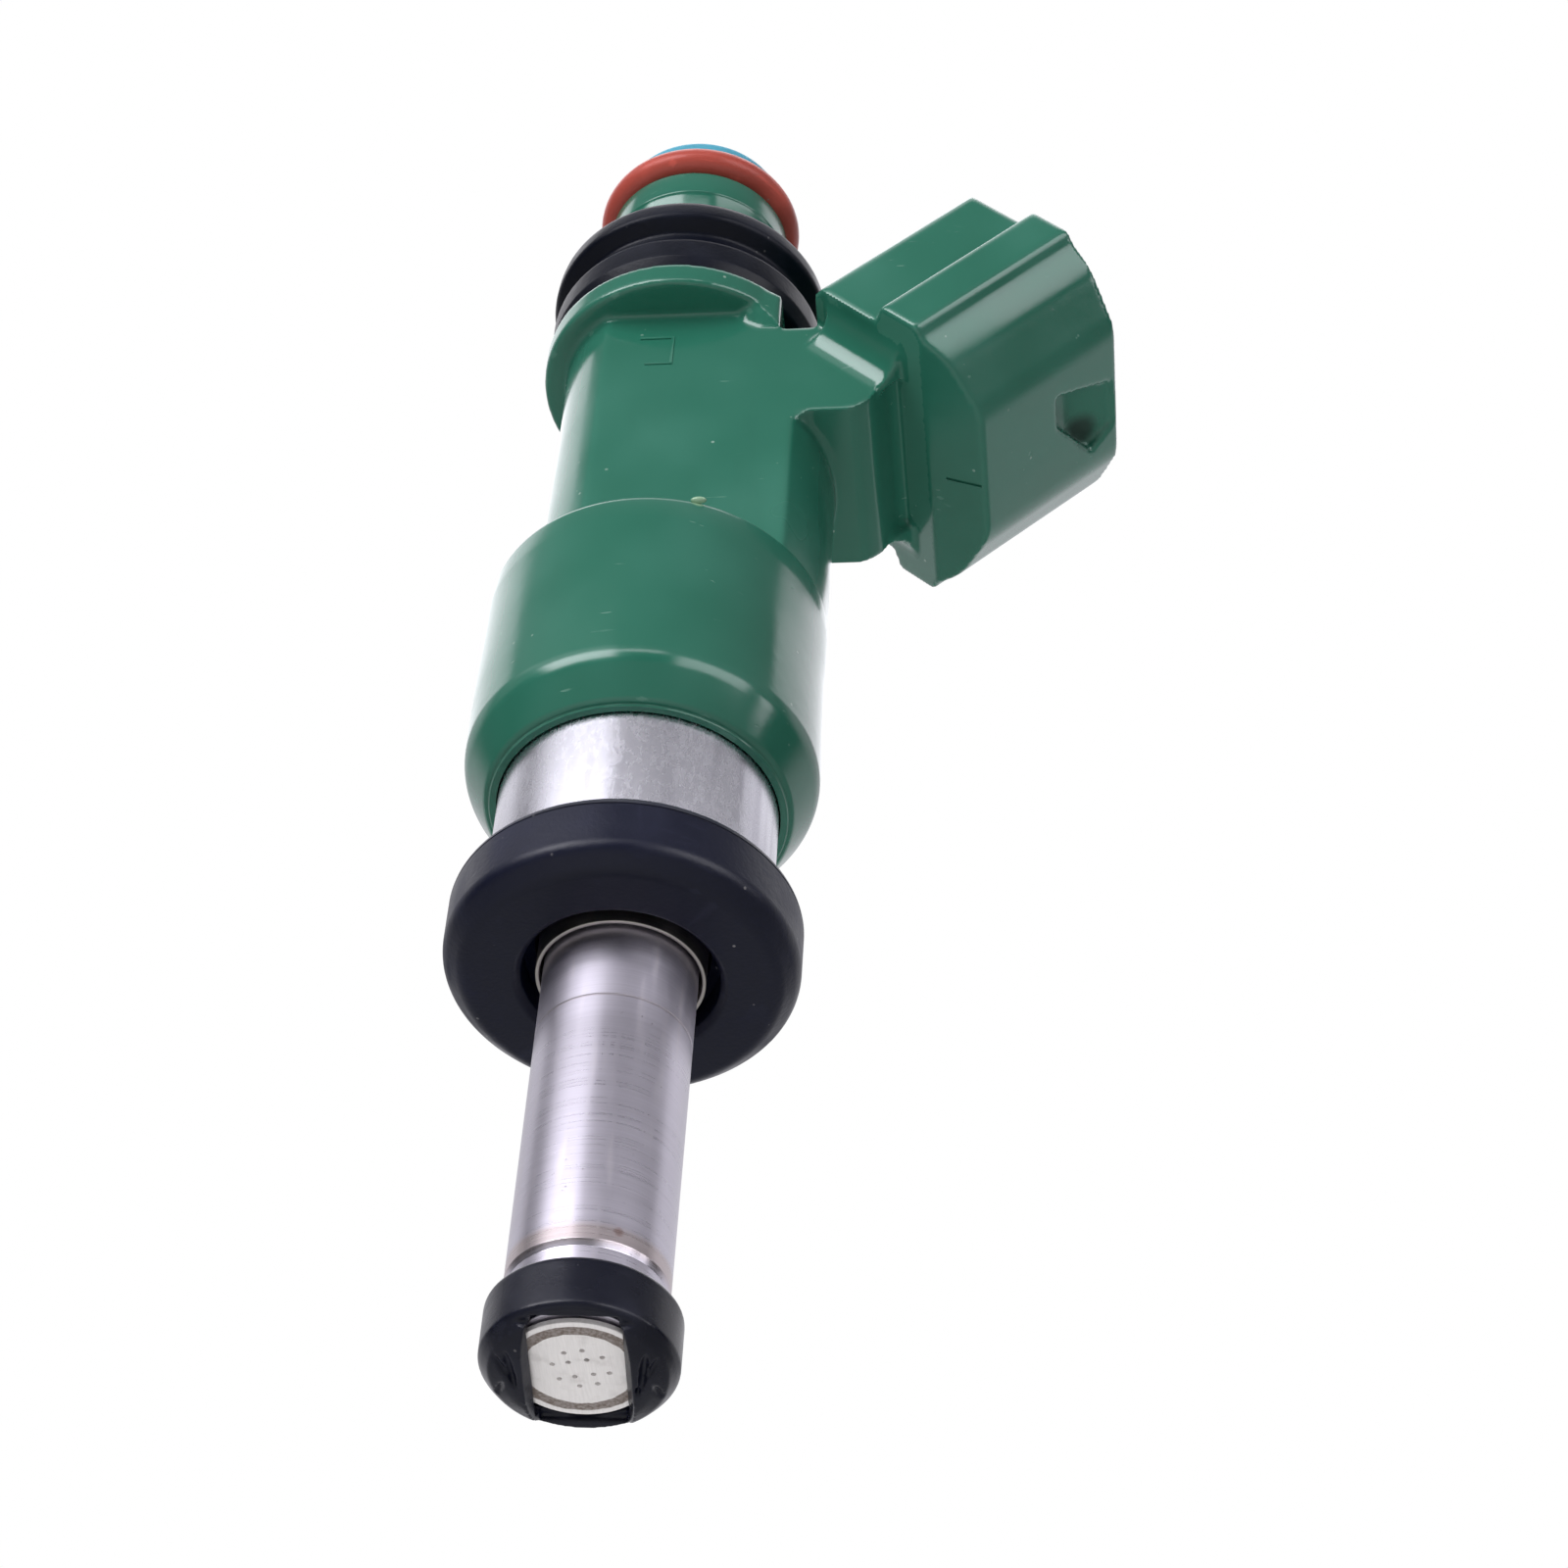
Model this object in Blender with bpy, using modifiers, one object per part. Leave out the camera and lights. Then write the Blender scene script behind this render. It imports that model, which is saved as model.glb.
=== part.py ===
"""Top-feed petrol fuel injector, standing on its nozzle.

Sizes are in millimetres and turned into metres by MM where a mesh is made.
The injector's axis is Z, the fuel inlet is at the top, and the electrical connector
leaves the body towards +X, tilted 45 degrees upward. The origin is the centre of
the orifice plate's outer face.
"""

import math

import bmesh
import bpy
from mathutils import Matrix, Vector

MM = 0.001

# Facets round a turned piece
SEGMENTS = 32
SMALL_SEGMENTS = 24
HOLE_SEGMENTS = 8

# Gap between pieces that touch in the real injector
GAP = 0.08

# Nozzle tube, which holds the valve
TUBE_RADIUS = 3.75
TUBE_BORE = 2.95
TUBE_NECK_RADIUS = 3.6
TUBE_NECK_TOP = 4.0
TUBE_BOTTOM = 0.35
TUBE_TOP = 31.0

# Orifice plate and valve seat
PLATE_RADIUS = 3.3
PLATE_THICKNESS = 0.25
HOLE_RADIUS = 0.14
HOLE_RINGS = ((8, 1.25, 15.0), (4, 0.65, 38.0))
SEAT_RADIUS = 3.1
SEAT_TOP = 3.7
SEAT_GUIDE_RADIUS = 1.85

# Moving needle: ball, tube and armature
BALL_RADIUS = 1.75
BALL_CENTRE = 3.3
NEEDLE_RADIUS = 1.15
NEEDLE_BORE = 0.75
NEEDLE_BOTTOM = BALL_CENTRE + BALL_RADIUS + 0.05
ARMATURE_RADIUS = 2.86
ARMATURE_BOTTOM = 27.0
ARMATURE_TOP = 33.0
ARMATURE_LEDGE = 30.5
AIR_GAP = 0.15
SPRING_POCKET_RADIUS = 1.5

# Return spring and the sleeve that sets its load
SPRING_RADIUS = 1.1
SPRING_WIRE = 0.2
SPRING_TURNS = 7
SPRING_TOP = 41.0
SLEEVE_RADIUS = 1.4
SLEEVE_BORE = 0.9
SLEEVE_TOP = 50.0

# Fixed core, its ring and the inlet tube above it
CORE_RADIUS = 3.7
CORE_BORE = 1.5
CORE_TOP = 56.0
RING_TOP = 34.5
INLET_BORE = 3.0
INLET_TOP = 78.8

# Steel shell round the coil
SHELL_RADIUS = 7.08
SHELL_WALL = 0.85
SHELL_BOTTOM = 27.75
SHELL_FLOOR = 1.4
SHELL_TOP = 46.2
WASHER_TOP = 47.6

# Coil
BOBBIN_BOTTOM = 31.5
BOBBIN_TOP = 45.9
BOBBIN_BORE = 3.9
BOBBIN_BARREL = 4.6
BOBBIN_FLANGE = 6.1
FLANGE_THICKNESS = 1.0

# Green moulded housing
COVER_RADIUS = 9.04
COVER_TOP_RADIUS = 8.95
COVER_BOTTOM = 34.5
COVER_CORNER = 2.0
COVER_TOP = 48.8
BODY_HALF_WIDTH = 5.5
BODY_REAR_RADIUS = 6.6
BODY_TOP = 68.5
RIM_RADIUS = 7.9
RIM_BOTTOM = 68.4
RIM_TOP = 70.2
RIM_CUT_X = 6.0
RIM_CORNER_X = 4.4
NECK_RADIUS = 5.1
LAND_RADIUS = 5.25
LAND_BOTTOM = 80.8
LAND_TOP = 82.75
GROOVE_RADIUS = 4.0
HOUSING_TOP = 84.9

# Connector: ALONG is measured along its axis, UP across it, both from the origin
TILT = math.radians(45)
CONNECTOR_UP = 37.2
SHROUD_REAR = 53.3
SHROUD_MOUTH = 65.0
SOCKET_FLOOR = 56.6
SHROUD_RIB = 9.3
SHROUD_SIDE = 8.1
SHROUD_BELOW = 6.9
SHROUD_ABOVE = 4.8
SOCKET_SIDE = 6.75
SOCKET_BELOW = 5.55
SOCKET_ABOVE = 3.45
LATCH_START = 60.8
LATCH_END = 64.9
LATCH_LOW = -1.85
LATCH_HIGH = 3.05
LATCH_DEPTH = 0.8
BRIDGE_TOP = 67.0
BRIDGE_BOTTOM = 59.65

# Half sections of the connector from the bottom up, as (across, up) from its axis
SHROUD_SECTION = (
    (4.5, -SHROUD_BELOW),
    (6.5, -6.1),
    (8.1, -4.7),
    (SHROUD_RIB, -3.4),
    (SHROUD_RIB, -0.8),
    (SHROUD_SIDE, -0.2),
    (SHROUD_SIDE, 3.9),
    (7.3, SHROUD_ABOVE),
)
SOCKET_SECTION = (
    (4.1, -SOCKET_BELOW),
    (5.85, -2.65),
    (SOCKET_SIDE, -1.85),
    (SOCKET_SIDE, 2.25),
    (5.6, SOCKET_ABOVE),
)

# What is cut off the shroud's lower rear edge, as (along, up) from its rear face and axis
REAR_CHAMFER = ((0, -8), (1.6, -8), (1.2, -6.9), (0.0, -4.0), (-1, -4.0), (-1, -8))

# Terminals
BLADE_WIDTH = 2.2
BLADE_THICKNESS = 0.7
BLADE_SPACING = 5.0
BLADE_TIP = 61.6
LEG_X = 4.5
LEG_BOTTOM = BOBBIN_TOP + 0.1

# Rubber parts and the nozzle's plastic cap
CUSHION_RADIUS = 8.68
CUSHION_BOTTOM = 22.8
CUSHION_TOP = 27.5
CUSHION_EDGE = 1.0
CUSHION_HOLE = 4.8
CUSHION_BORE = 4.3
COLLAR_OUTER = 4.15
COLLAR_INNER = 3.9
COLLAR_FLANGE = 6.2
GROMMET_RADIUS = 7.9
GROMMET_TOP = 76.5
GROMMET_GROOVE = 7.0
RING_CENTRE_RADIUS = 4.97
RING_SECTION = 0.93
RING_Z = 83.83
CAP_RADIUS = 4.46
CAP_TOP = 2.85
CAP_EDGE_RADIUS = 4.3
CAP_DOME = 0.95
CAP_SLOT = 3.9
CAP_BORE = 3.75

# Inlet filter
FILTER_RIM_RADIUS = 4.9
FILTER_RIM_BOTTOM = 85.0
FILTER_TOP = 86.5
FILTER_RADIUS = 3.3
FILTER_BORE = 3.0
FILTER_BOTTOM = 67.5
MESH_RADIUS = 2.7
MESH_WALL = 0.15
MESH_BOTTOM = 69.5
MESH_TOP = 80.0

COLOURS = {
    "green_plastic": ((0.045, 0.20, 0.14), 0.0, 0.35),
    "black_plastic": ((0.02, 0.021, 0.028), 0.0, 0.45),
    "black_rubber": ((0.018, 0.018, 0.023), 0.0, 0.6),
    "red_rubber": ((0.46, 0.08, 0.06), 0.0, 0.5),
    "cyan_plastic": ((0.16, 0.50, 0.62), 0.0, 0.4),
    "white_mesh": ((0.75, 0.78, 0.78), 0.0, 0.7),
    "stainless": ((0.55, 0.54, 0.58), 1.0, 0.32),
    "bright_steel": ((0.78, 0.77, 0.76), 1.0, 0.25),
    "soft_iron": ((0.42, 0.42, 0.43), 1.0, 0.4),
    "spring_steel": ((0.5, 0.5, 0.52), 1.0, 0.3),
    "brass": ((0.75, 0.55, 0.25), 1.0, 0.3),
    "copper": ((0.75, 0.32, 0.16), 1.0, 0.35),
    "tinned": ((0.7, 0.69, 0.66), 1.0, 0.3),
    "natural_plastic": ((0.55, 0.5, 0.42), 0.0, 0.5),
}


def clear_scene():
    for obj in list(bpy.data.objects):
        bpy.data.objects.remove(obj, do_unlink=True)


def new_collection(name):
    collection = bpy.data.collections.new(name)
    bpy.context.scene.collection.children.link(collection)
    return collection


def material(name):
    found = bpy.data.materials.get(name)
    if found:
        return found
    colour, metallic, roughness = COLOURS[name]
    made = bpy.data.materials.new(name)
    made.use_nodes = True
    shader = made.node_tree.nodes["Principled BSDF"]
    shader.inputs["Base Color"].default_value = (*colour, 1.0)
    shader.inputs["Metallic"].default_value = metallic
    shader.inputs["Roughness"].default_value = roughness
    made.diffuse_color = (*colour, 1.0)
    return made


def link_object(name, data):
    obj = bpy.data.objects.new(name, data)
    PARTS.objects.link(obj)
    return obj


def plain_mesh(obj):
    """Replaces obj by the mesh that its modifiers or its curve give."""
    graph = bpy.context.evaluated_depsgraph_get()
    graph.update()
    mesh = bpy.data.meshes.new_from_object(obj.evaluated_get(graph))
    work = bmesh.new()
    work.from_mesh(mesh)
    bmesh.ops.remove_doubles(work, verts=work.verts, dist=1e-7)
    work.to_mesh(mesh)
    work.free()
    name, place = obj.name, obj.matrix_world.copy()
    bpy.data.objects.remove(obj, do_unlink=True)
    made = link_object(name, mesh)
    made.matrix_world = place
    bpy.context.view_layer.update()
    return made


def turned(name, profile, segments=SEGMENTS):
    """A turned piece. profile is its closed outline as (radius, height), down the outer side first."""
    mesh = bpy.data.meshes.new(name)
    work = bmesh.new()
    points = [work.verts.new((r * MM, 0.0, z * MM)) for r, z in profile]
    on_axis = profile[0][0] == 0 and profile[-1][0] == 0
    ends = points[1:] if on_axis else points[1:] + points[:1]
    for start, end in zip(points, ends):
        work.edges.new((start, end))
    work.to_mesh(mesh)
    work.free()
    obj = link_object(name, mesh)
    screw = obj.modifiers.new("turn", "SCREW")
    screw.axis = "Z"
    screw.angle = math.tau
    screw.steps = segments
    screw.render_steps = segments
    screw.use_merge_vertices = True
    screw.merge_threshold = 1e-6
    return plain_mesh(obj)


def slab(name, outline, thickness, frame=None):
    """A flat outline of (x, y) points, thickness thick about its plane, placed by frame."""
    curve = bpy.data.curves.new(name, "CURVE")
    curve.dimensions = "2D"
    curve.fill_mode = "BOTH"
    curve.extrude = thickness / 2 * MM
    spline = curve.splines.new("POLY")
    spline.points.add(len(outline) - 1)
    for point, (x, y) in zip(spline.points, outline):
        point.co = (x * MM, y * MM, 0.0, 1.0)
    spline.use_cyclic_u = True
    obj = link_object(name, curve)
    if frame is not None:
        obj.matrix_world = frame
    bpy.context.view_layer.update()
    return plain_mesh(obj)


def box(name, low, high, frame=None):
    mesh = bpy.data.meshes.new(name)
    work = bmesh.new()
    bmesh.ops.create_cube(work, size=1.0)
    size = Vector(b - a for a, b in zip(low, high))
    middle = Vector((a + b) / 2 for a, b in zip(low, high))
    bmesh.ops.scale(work, vec=size * MM, verts=work.verts)
    bmesh.ops.translate(work, vec=middle * MM, verts=work.verts)
    work.to_mesh(mesh)
    work.free()
    obj = link_object(name, mesh)
    if frame is not None:
        obj.matrix_world = frame
    return obj


def rod(name, radius, start, end, segments):
    """A plain cylinder between two points."""
    start, end = Vector(start) * MM, Vector(end) * MM
    mesh = bpy.data.meshes.new(name)
    work = bmesh.new()
    bmesh.ops.create_cone(
        work,
        cap_ends=True,
        segments=segments,
        radius1=radius * MM,
        radius2=radius * MM,
        depth=(end - start).length,
    )
    work.to_mesh(mesh)
    work.free()
    obj = link_object(name, mesh)
    turn = (end - start).to_track_quat("Z", "Y").to_matrix().to_4x4()
    obj.matrix_world = Matrix.Translation((start + end) / 2) @ turn
    return obj


def combine(target, others, operation):
    """Boolean of target with each of others, which are kept as hidden cutters."""
    for other in others:
        step = target.modifiers.new(other.name, "BOOLEAN")
        step.operation = operation
        step.solver = "EXACT"
        step.object = other
    bpy.context.view_layer.update()
    made = plain_mesh(target)
    for other in others:
        PARTS.objects.unlink(other)
        CUTTERS.objects.link(other)
        other.hide_render = True
        other.display_type = "WIRE"
    return made


def finish(obj, colour, sharp=40):
    """Gives a piece its material and smooth shading."""
    obj.data.materials.clear()
    obj.data.materials.append(material(colour))
    obj.data.shade_smooth()
    obj.data.set_sharp_from_angle(angle=math.radians(sharp))
    return obj


def arc(centre, radius, start, end, steps):
    """Points on an arc, angles in degrees, both ends included."""
    angles = [math.radians(start + (end - start) * i / steps) for i in range(steps + 1)]
    return [(centre[0] + radius * math.cos(a), centre[1] + radius * math.sin(a)) for a in angles]


def tube_profile(outer, inner, bottom, top):
    return [(outer, top), (outer, bottom), (inner, bottom), (inner, top)]


def connector_frame(along, up):
    """Axes of a cross-section of the connector: x across it (+Y), y up it, z along it."""
    forward = Vector((math.cos(TILT), 0, math.sin(TILT)))
    upward = Vector((-math.sin(TILT), 0, math.cos(TILT)))
    across = upward.cross(forward)
    frame = Matrix((across, upward, forward)).transposed().to_4x4()
    frame.translation = (forward * along + upward * up) * MM
    return frame


def side_frame(y=0.0):
    """Axes of an outline drawn as (x, z) and extruded along Y."""
    frame = Matrix.Rotation(math.radians(90), 4, "X")
    frame.translation = (0, y * MM, 0)
    return frame


def at_connector(along, up):
    """(x, z) of a point in the connector's middle plane."""
    return (
        along * math.cos(TILT) - up * math.sin(TILT),
        along * math.sin(TILT) + up * math.cos(TILT),
    )


def mirrored(half):
    """A closed outline from its half at x > 0, listed from the bottom up."""
    return list(half) + [(-x, y) for x, y in reversed(half)]


# The housing ---------------------------------------------------------------


def body_outline():
    """Body between the coil cover and the rim: round front and rear, flat on both sides."""
    front = math.degrees(math.asin(BODY_HALF_WIDTH / COVER_TOP_RADIUS))
    rear = math.degrees(math.asin(BODY_HALF_WIDTH / BODY_REAR_RADIUS))
    return arc((0, 0), COVER_TOP_RADIUS, -front, front, 8) + arc(
        (0, 0), BODY_REAR_RADIUS, 180 - rear, 180 + rear, 10
    )


def z_frame(z):
    return Matrix.Translation((0, 0, z * MM))


def bridge_outline():
    """Side view of the bridge from the body to the connector, as (x, z)."""
    rear_top = at_connector(SHROUD_REAR + 1.0, 41.4)
    rear_low = at_connector(SHROUD_REAR + 1.0, 35.4)
    return [
        (4.0, BRIDGE_TOP),
        (8.0, BRIDGE_TOP),
        rear_top,
        rear_low,
        (12.0, 62.3),
        (11.2, 60.6),
        (10.4, BRIDGE_BOTTOM),
        (4.0, BRIDGE_BOTTOM),
    ]


def housing_core():
    """Turned part of the housing: the coil's cover, the grommet's rim, the neck and the O-ring's groove."""
    cover_arc = arc((COVER_RADIUS - COVER_CORNER, COVER_BOTTOM + COVER_CORNER), COVER_CORNER, 0, -90, 5)
    profile = [
        (0, HOUSING_TOP),
        (GROOVE_RADIUS, HOUSING_TOP),
        (GROOVE_RADIUS, LAND_TOP),
        (LAND_RADIUS, LAND_TOP),
        (LAND_RADIUS, LAND_BOTTOM),
        (NECK_RADIUS, LAND_BOTTOM),
        (NECK_RADIUS, RIM_TOP),
        (RIM_RADIUS, RIM_TOP),
        (RIM_RADIUS, RIM_BOTTOM),
        (NECK_RADIUS, RIM_BOTTOM),
        (NECK_RADIUS, COVER_TOP),
        (COVER_TOP_RADIUS - 0.4, COVER_TOP),
        (COVER_TOP_RADIUS, COVER_TOP - 0.4),
        *cover_arc,
        (0, COVER_BOTTOM),
    ]
    return turned("housing", profile)


def housing_cavity():
    """Everything that the housing is moulded round, as one turned cutter."""
    profile = [
        (0, HOUSING_TOP + 1),
        (FILTER_RADIUS + GAP, HOUSING_TOP + 1),
        (FILTER_RADIUS + GAP, INLET_TOP + GAP),
        (CORE_RADIUS + GAP, INLET_TOP + GAP),
        (CORE_RADIUS + GAP, WASHER_TOP + GAP),
        (SHELL_RADIUS + GAP, WASHER_TOP + GAP),
        (SHELL_RADIUS + GAP, COVER_BOTTOM - 1),
        (0, COVER_BOTTOM - 1),
    ]
    return turned("cavity_cutter", profile)


def terminal_outline(margin=0.0):
    """Side view of a terminal, as (x, z): a leg up from the coil and a blade along the connector."""
    half = BLADE_THICKNESS / 2 + margin
    bend = math.tan(TILT / 2)
    joint = CONNECTOR_UP / math.cos(TILT) + LEG_X
    tip = BLADE_TIP + margin
    return [
        (LEG_X + half, LEG_BOTTOM - margin),
        (LEG_X + half, joint - half * bend),
        at_connector(tip, CONNECTOR_UP - half),
        at_connector(tip, CONNECTOR_UP + half),
        (LEG_X - half, joint + half * bend),
        (LEG_X - half, LEG_BOTTOM - margin),
    ]


def make_housing():
    upright = [
        slab("body_block", body_outline(), BODY_TOP - COVER_TOP + 2, z_frame((BODY_TOP + COVER_TOP) / 2 - 1)),
        box(
            "rim_corner_block",
            (RIM_CORNER_X, -BODY_HALF_WIDTH, BRIDGE_TOP - 1),
            (RIM_CUT_X + 0.4, BODY_HALF_WIDTH, RIM_TOP - 0.3),
        ),
    ]
    housing = combine(housing_core(), upright, "UNION")
    # The rim and the body's top are cut off straight to leave room for the connector
    step = box(
        "step_cutter",
        (RIM_CUT_X, -SHROUD_RIB, BRIDGE_TOP - 0.1),
        (SHROUD_RIB, SHROUD_RIB, RIM_TOP + 1),
    )
    housing = combine(housing, [step], "DIFFERENCE")
    additions = [
        slab("bridge_block", bridge_outline(), 2 * BODY_HALF_WIDTH, side_frame()),
        slab(
            "shroud_block",
            mirrored(SHROUD_SECTION),
            SHROUD_MOUTH - SHROUD_REAR,
            connector_frame((SHROUD_MOUTH + SHROUD_REAR) / 2, CONNECTOR_UP),
        ),
    ]
    housing = combine(housing, additions, "UNION")
    socket_length = SHROUD_MOUTH + 1 - SOCKET_FLOOR
    chamfer = [at_connector(SHROUD_REAR + along, CONNECTOR_UP + up) for along, up in REAR_CHAMFER]
    across = 2 * SHROUD_RIB + 2
    cutters = [
        housing_cavity(),
        slab(
            "socket_cutter",
            mirrored(SOCKET_SECTION),
            socket_length,
            connector_frame(SOCKET_FLOOR + socket_length / 2, CONNECTOR_UP),
        ),
        slab("chamfer_cutter", chamfer, across, side_frame()),
        box(
            "latch_cutter",
            (LATCH_LOW, -SHROUD_BELOW - 1, 0),
            (LATCH_HIGH, LATCH_DEPTH - SHROUD_BELOW, LATCH_END - LATCH_START),
            connector_frame(LATCH_START, CONNECTOR_UP),
        ),
    ]
    for side in (-1, 1):
        cutters.append(
            slab(
                f"blade_cutter_{side + 2}",
                terminal_outline(GAP),
                BLADE_WIDTH + 2 * GAP,
                side_frame(side * BLADE_SPACING / 2),
            )
        )
    return finish(combine(housing, cutters, "DIFFERENCE"), "green_plastic")


# The nozzle end --------------------------------------------------------------


def make_nozzle_tube():
    profile = [
        (TUBE_RADIUS, TUBE_TOP),
        (TUBE_RADIUS, TUBE_NECK_TOP + 0.3),
        (TUBE_NECK_RADIUS, TUBE_NECK_TOP),
        (TUBE_NECK_RADIUS, TUBE_BOTTOM),
        (SEAT_RADIUS + GAP, TUBE_BOTTOM),
        (SEAT_RADIUS + GAP, SEAT_TOP + GAP),
        (TUBE_BORE, SEAT_TOP + GAP),
        (TUBE_BORE, TUBE_TOP),
    ]
    finish(turned("nozzle_tube", profile), "stainless")


def make_orifice_plate():
    profile = [(0, PLATE_THICKNESS), (PLATE_RADIUS, PLATE_THICKNESS), (PLATE_RADIUS, 0), (0, 0)]
    plate = turned("orifice_plate", profile)
    drills = []
    for count, radius, start in HOLE_RINGS:
        for i in range(count):
            angle = math.tau * i / count + math.radians(start)
            x, y = radius * math.cos(angle), radius * math.sin(angle)
            drills.append(rod("drill", HOLE_RADIUS, (x, y, -0.5), (x, y, 1.0), HOLE_SEGMENTS))
    finish(combine(plate, drills, "DIFFERENCE"), "bright_steel")


def make_valve_seat():
    """The seat's cone touches the ball all round, 45 degrees below the ball's middle."""
    touch = (BALL_RADIUS + 0.06) * math.cos(math.radians(45))
    cone_low = 0.8
    cone_z = BALL_CENTRE - touch - (touch - cone_low)
    profile = [
        (SEAT_RADIUS, SEAT_TOP),
        (SEAT_RADIUS, PLATE_THICKNESS + 0.05),
        (cone_low + 0.3, PLATE_THICKNESS + 0.05),
        (cone_low, cone_z),
        (SEAT_GUIDE_RADIUS, cone_z + SEAT_GUIDE_RADIUS - cone_low),
        (SEAT_GUIDE_RADIUS, SEAT_TOP),
    ]
    finish(turned("valve_seat", profile, SMALL_SEGMENTS), "bright_steel")


def make_nozzle_cap():
    """A ring round the tube's end, closed below by two domed lobes with a slot between them."""
    drop = CAP_DOME / 5
    dome = [
        (CAP_EDGE_RADIUS * math.cos(math.radians(a)), -CAP_DOME * math.sin(math.radians(a)))
        for a in (12, 28, 46, 66)
    ]
    profile = [
        (CAP_RADIUS - 0.25, CAP_TOP),
        (CAP_RADIUS, CAP_TOP - 0.25),
        (CAP_RADIUS, 0.3),
        (CAP_EDGE_RADIUS, 0.0),
        *dome,
        (0, -CAP_DOME),
        (0, -drop),
        (CAP_BORE, -drop),
        (CAP_BORE, 1.2),
        (TUBE_NECK_RADIUS + GAP, 1.4),
        (TUBE_NECK_RADIUS + GAP, CAP_TOP),
    ]
    cap = turned("nozzle_cap", profile)
    half = CAP_SLOT / 2
    slot = box("slot_cutter", (-half, -6, -3), (half, 6, 0.0))
    finish(combine(cap, [slot], "DIFFERENCE"), "black_plastic")


# The moving needle ------------------------------------------------------------


def make_ball():
    mesh = bpy.data.meshes.new("valve_ball")
    work = bmesh.new()
    bmesh.ops.create_uvsphere(work, u_segments=SMALL_SEGMENTS, v_segments=12, radius=BALL_RADIUS * MM)
    work.to_mesh(mesh)
    work.free()
    ball = link_object("valve_ball", mesh)
    ball.location = (0, 0, BALL_CENTRE * MM)
    finish(ball, "bright_steel")
    return ball


def make_needle():
    needle_top = ARMATURE_LEDGE - 0.6
    needle = turned(
        "needle_tube",
        tube_profile(NEEDLE_RADIUS, NEEDLE_BORE, NEEDLE_BOTTOM, needle_top),
        SMALL_SEGMENTS,
    )
    outlet_z = NEEDLE_BOTTOM + 2.5
    outlet = rod("outlet_cutter", 0.4, (-3, 0, outlet_z), (3, 0, outlet_z), HOLE_SEGMENTS)
    return finish(combine(needle, [outlet], "DIFFERENCE"), "stainless")


def make_armature():
    profile = [
        (ARMATURE_RADIUS, ARMATURE_TOP),
        (ARMATURE_RADIUS, ARMATURE_BOTTOM),
        (NEEDLE_RADIUS + GAP, ARMATURE_BOTTOM),
        (NEEDLE_RADIUS + GAP, ARMATURE_LEDGE - 0.4),
        (NEEDLE_BORE, ARMATURE_LEDGE),
        (SPRING_POCKET_RADIUS, ARMATURE_LEDGE),
        (SPRING_POCKET_RADIUS, ARMATURE_TOP),
    ]
    return finish(turned("armature", profile, SMALL_SEGMENTS), "soft_iron")


def make_spring():
    steps = 10
    low = ARMATURE_LEDGE + SPRING_WIRE + 0.1
    high = SPRING_TOP - SPRING_WIRE - 0.1
    count = SPRING_TURNS * steps + 1
    curve = bpy.data.curves.new("return_spring", "CURVE")
    curve.dimensions = "3D"
    curve.bevel_depth = SPRING_WIRE * MM
    curve.bevel_resolution = 2
    curve.use_fill_caps = True
    spline = curve.splines.new("POLY")
    spline.points.add(count - 1)
    for i, point in enumerate(spline.points):
        angle = math.tau * i / steps
        z = low + (high - low) * i / (count - 1)
        x, y = SPRING_RADIUS * math.cos(angle), SPRING_RADIUS * math.sin(angle)
        point.co = (x * MM, y * MM, z * MM, 1.0)
    spring = link_object("return_spring", curve)
    finish(plain_mesh(spring), "spring_steel")


# The magnet ---------------------------------------------------------------------


def make_magnet():
    inner = SHELL_RADIUS - SHELL_WALL
    shell = [
        (SHELL_RADIUS, SHELL_TOP),
        (SHELL_RADIUS, SHELL_BOTTOM + 0.3),
        (SHELL_RADIUS - 0.3, SHELL_BOTTOM),
        (TUBE_RADIUS + GAP, SHELL_BOTTOM),
        (TUBE_RADIUS + GAP, SHELL_BOTTOM + SHELL_FLOOR),
        (inner, SHELL_BOTTOM + SHELL_FLOOR),
        (inner, SHELL_TOP),
    ]
    finish(turned("magnet_shell", shell), "bright_steel")

    # The lower pole piece fills the shell below the coil
    pole = tube_profile(inner - GAP, TUBE_RADIUS + GAP, SHELL_BOTTOM + SHELL_FLOOR + GAP, BOBBIN_BOTTOM - GAP)
    finish(turned("lower_pole", pole), "soft_iron")

    washer = turned(
        "upper_pole_washer",
        tube_profile(SHELL_RADIUS, CORE_RADIUS + GAP, SHELL_TOP + GAP, WASHER_TOP),
    )
    reach = BLADE_SPACING / 2 + BLADE_WIDTH / 2 + 0.4
    notch = box("washer_cutter", (LEG_X - 1.0, -reach, SHELL_TOP - 1), (10, reach, WASHER_TOP + 1))
    finish(combine(washer, [notch], "DIFFERENCE"), "soft_iron")

    ring = tube_profile(TUBE_RADIUS - 0.05, ARMATURE_RADIUS + 0.09, TUBE_TOP + GAP, RING_TOP)
    finish(turned("nonmagnetic_ring", ring, SMALL_SEGMENTS), "stainless")

    core = [
        (CORE_RADIUS, CORE_TOP),
        (CORE_RADIUS, RING_TOP + GAP),
        (ARMATURE_RADIUS, RING_TOP + GAP),
        (ARMATURE_RADIUS, ARMATURE_TOP + AIR_GAP),
        (CORE_BORE, ARMATURE_TOP + AIR_GAP),
        (CORE_BORE, CORE_TOP),
    ]
    finish(turned("fixed_core", core, SMALL_SEGMENTS), "soft_iron")

    sleeve = tube_profile(SLEEVE_RADIUS, SLEEVE_BORE, SPRING_TOP, SLEEVE_TOP)
    finish(turned("adjusting_sleeve", sleeve, SMALL_SEGMENTS), "brass")


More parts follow.
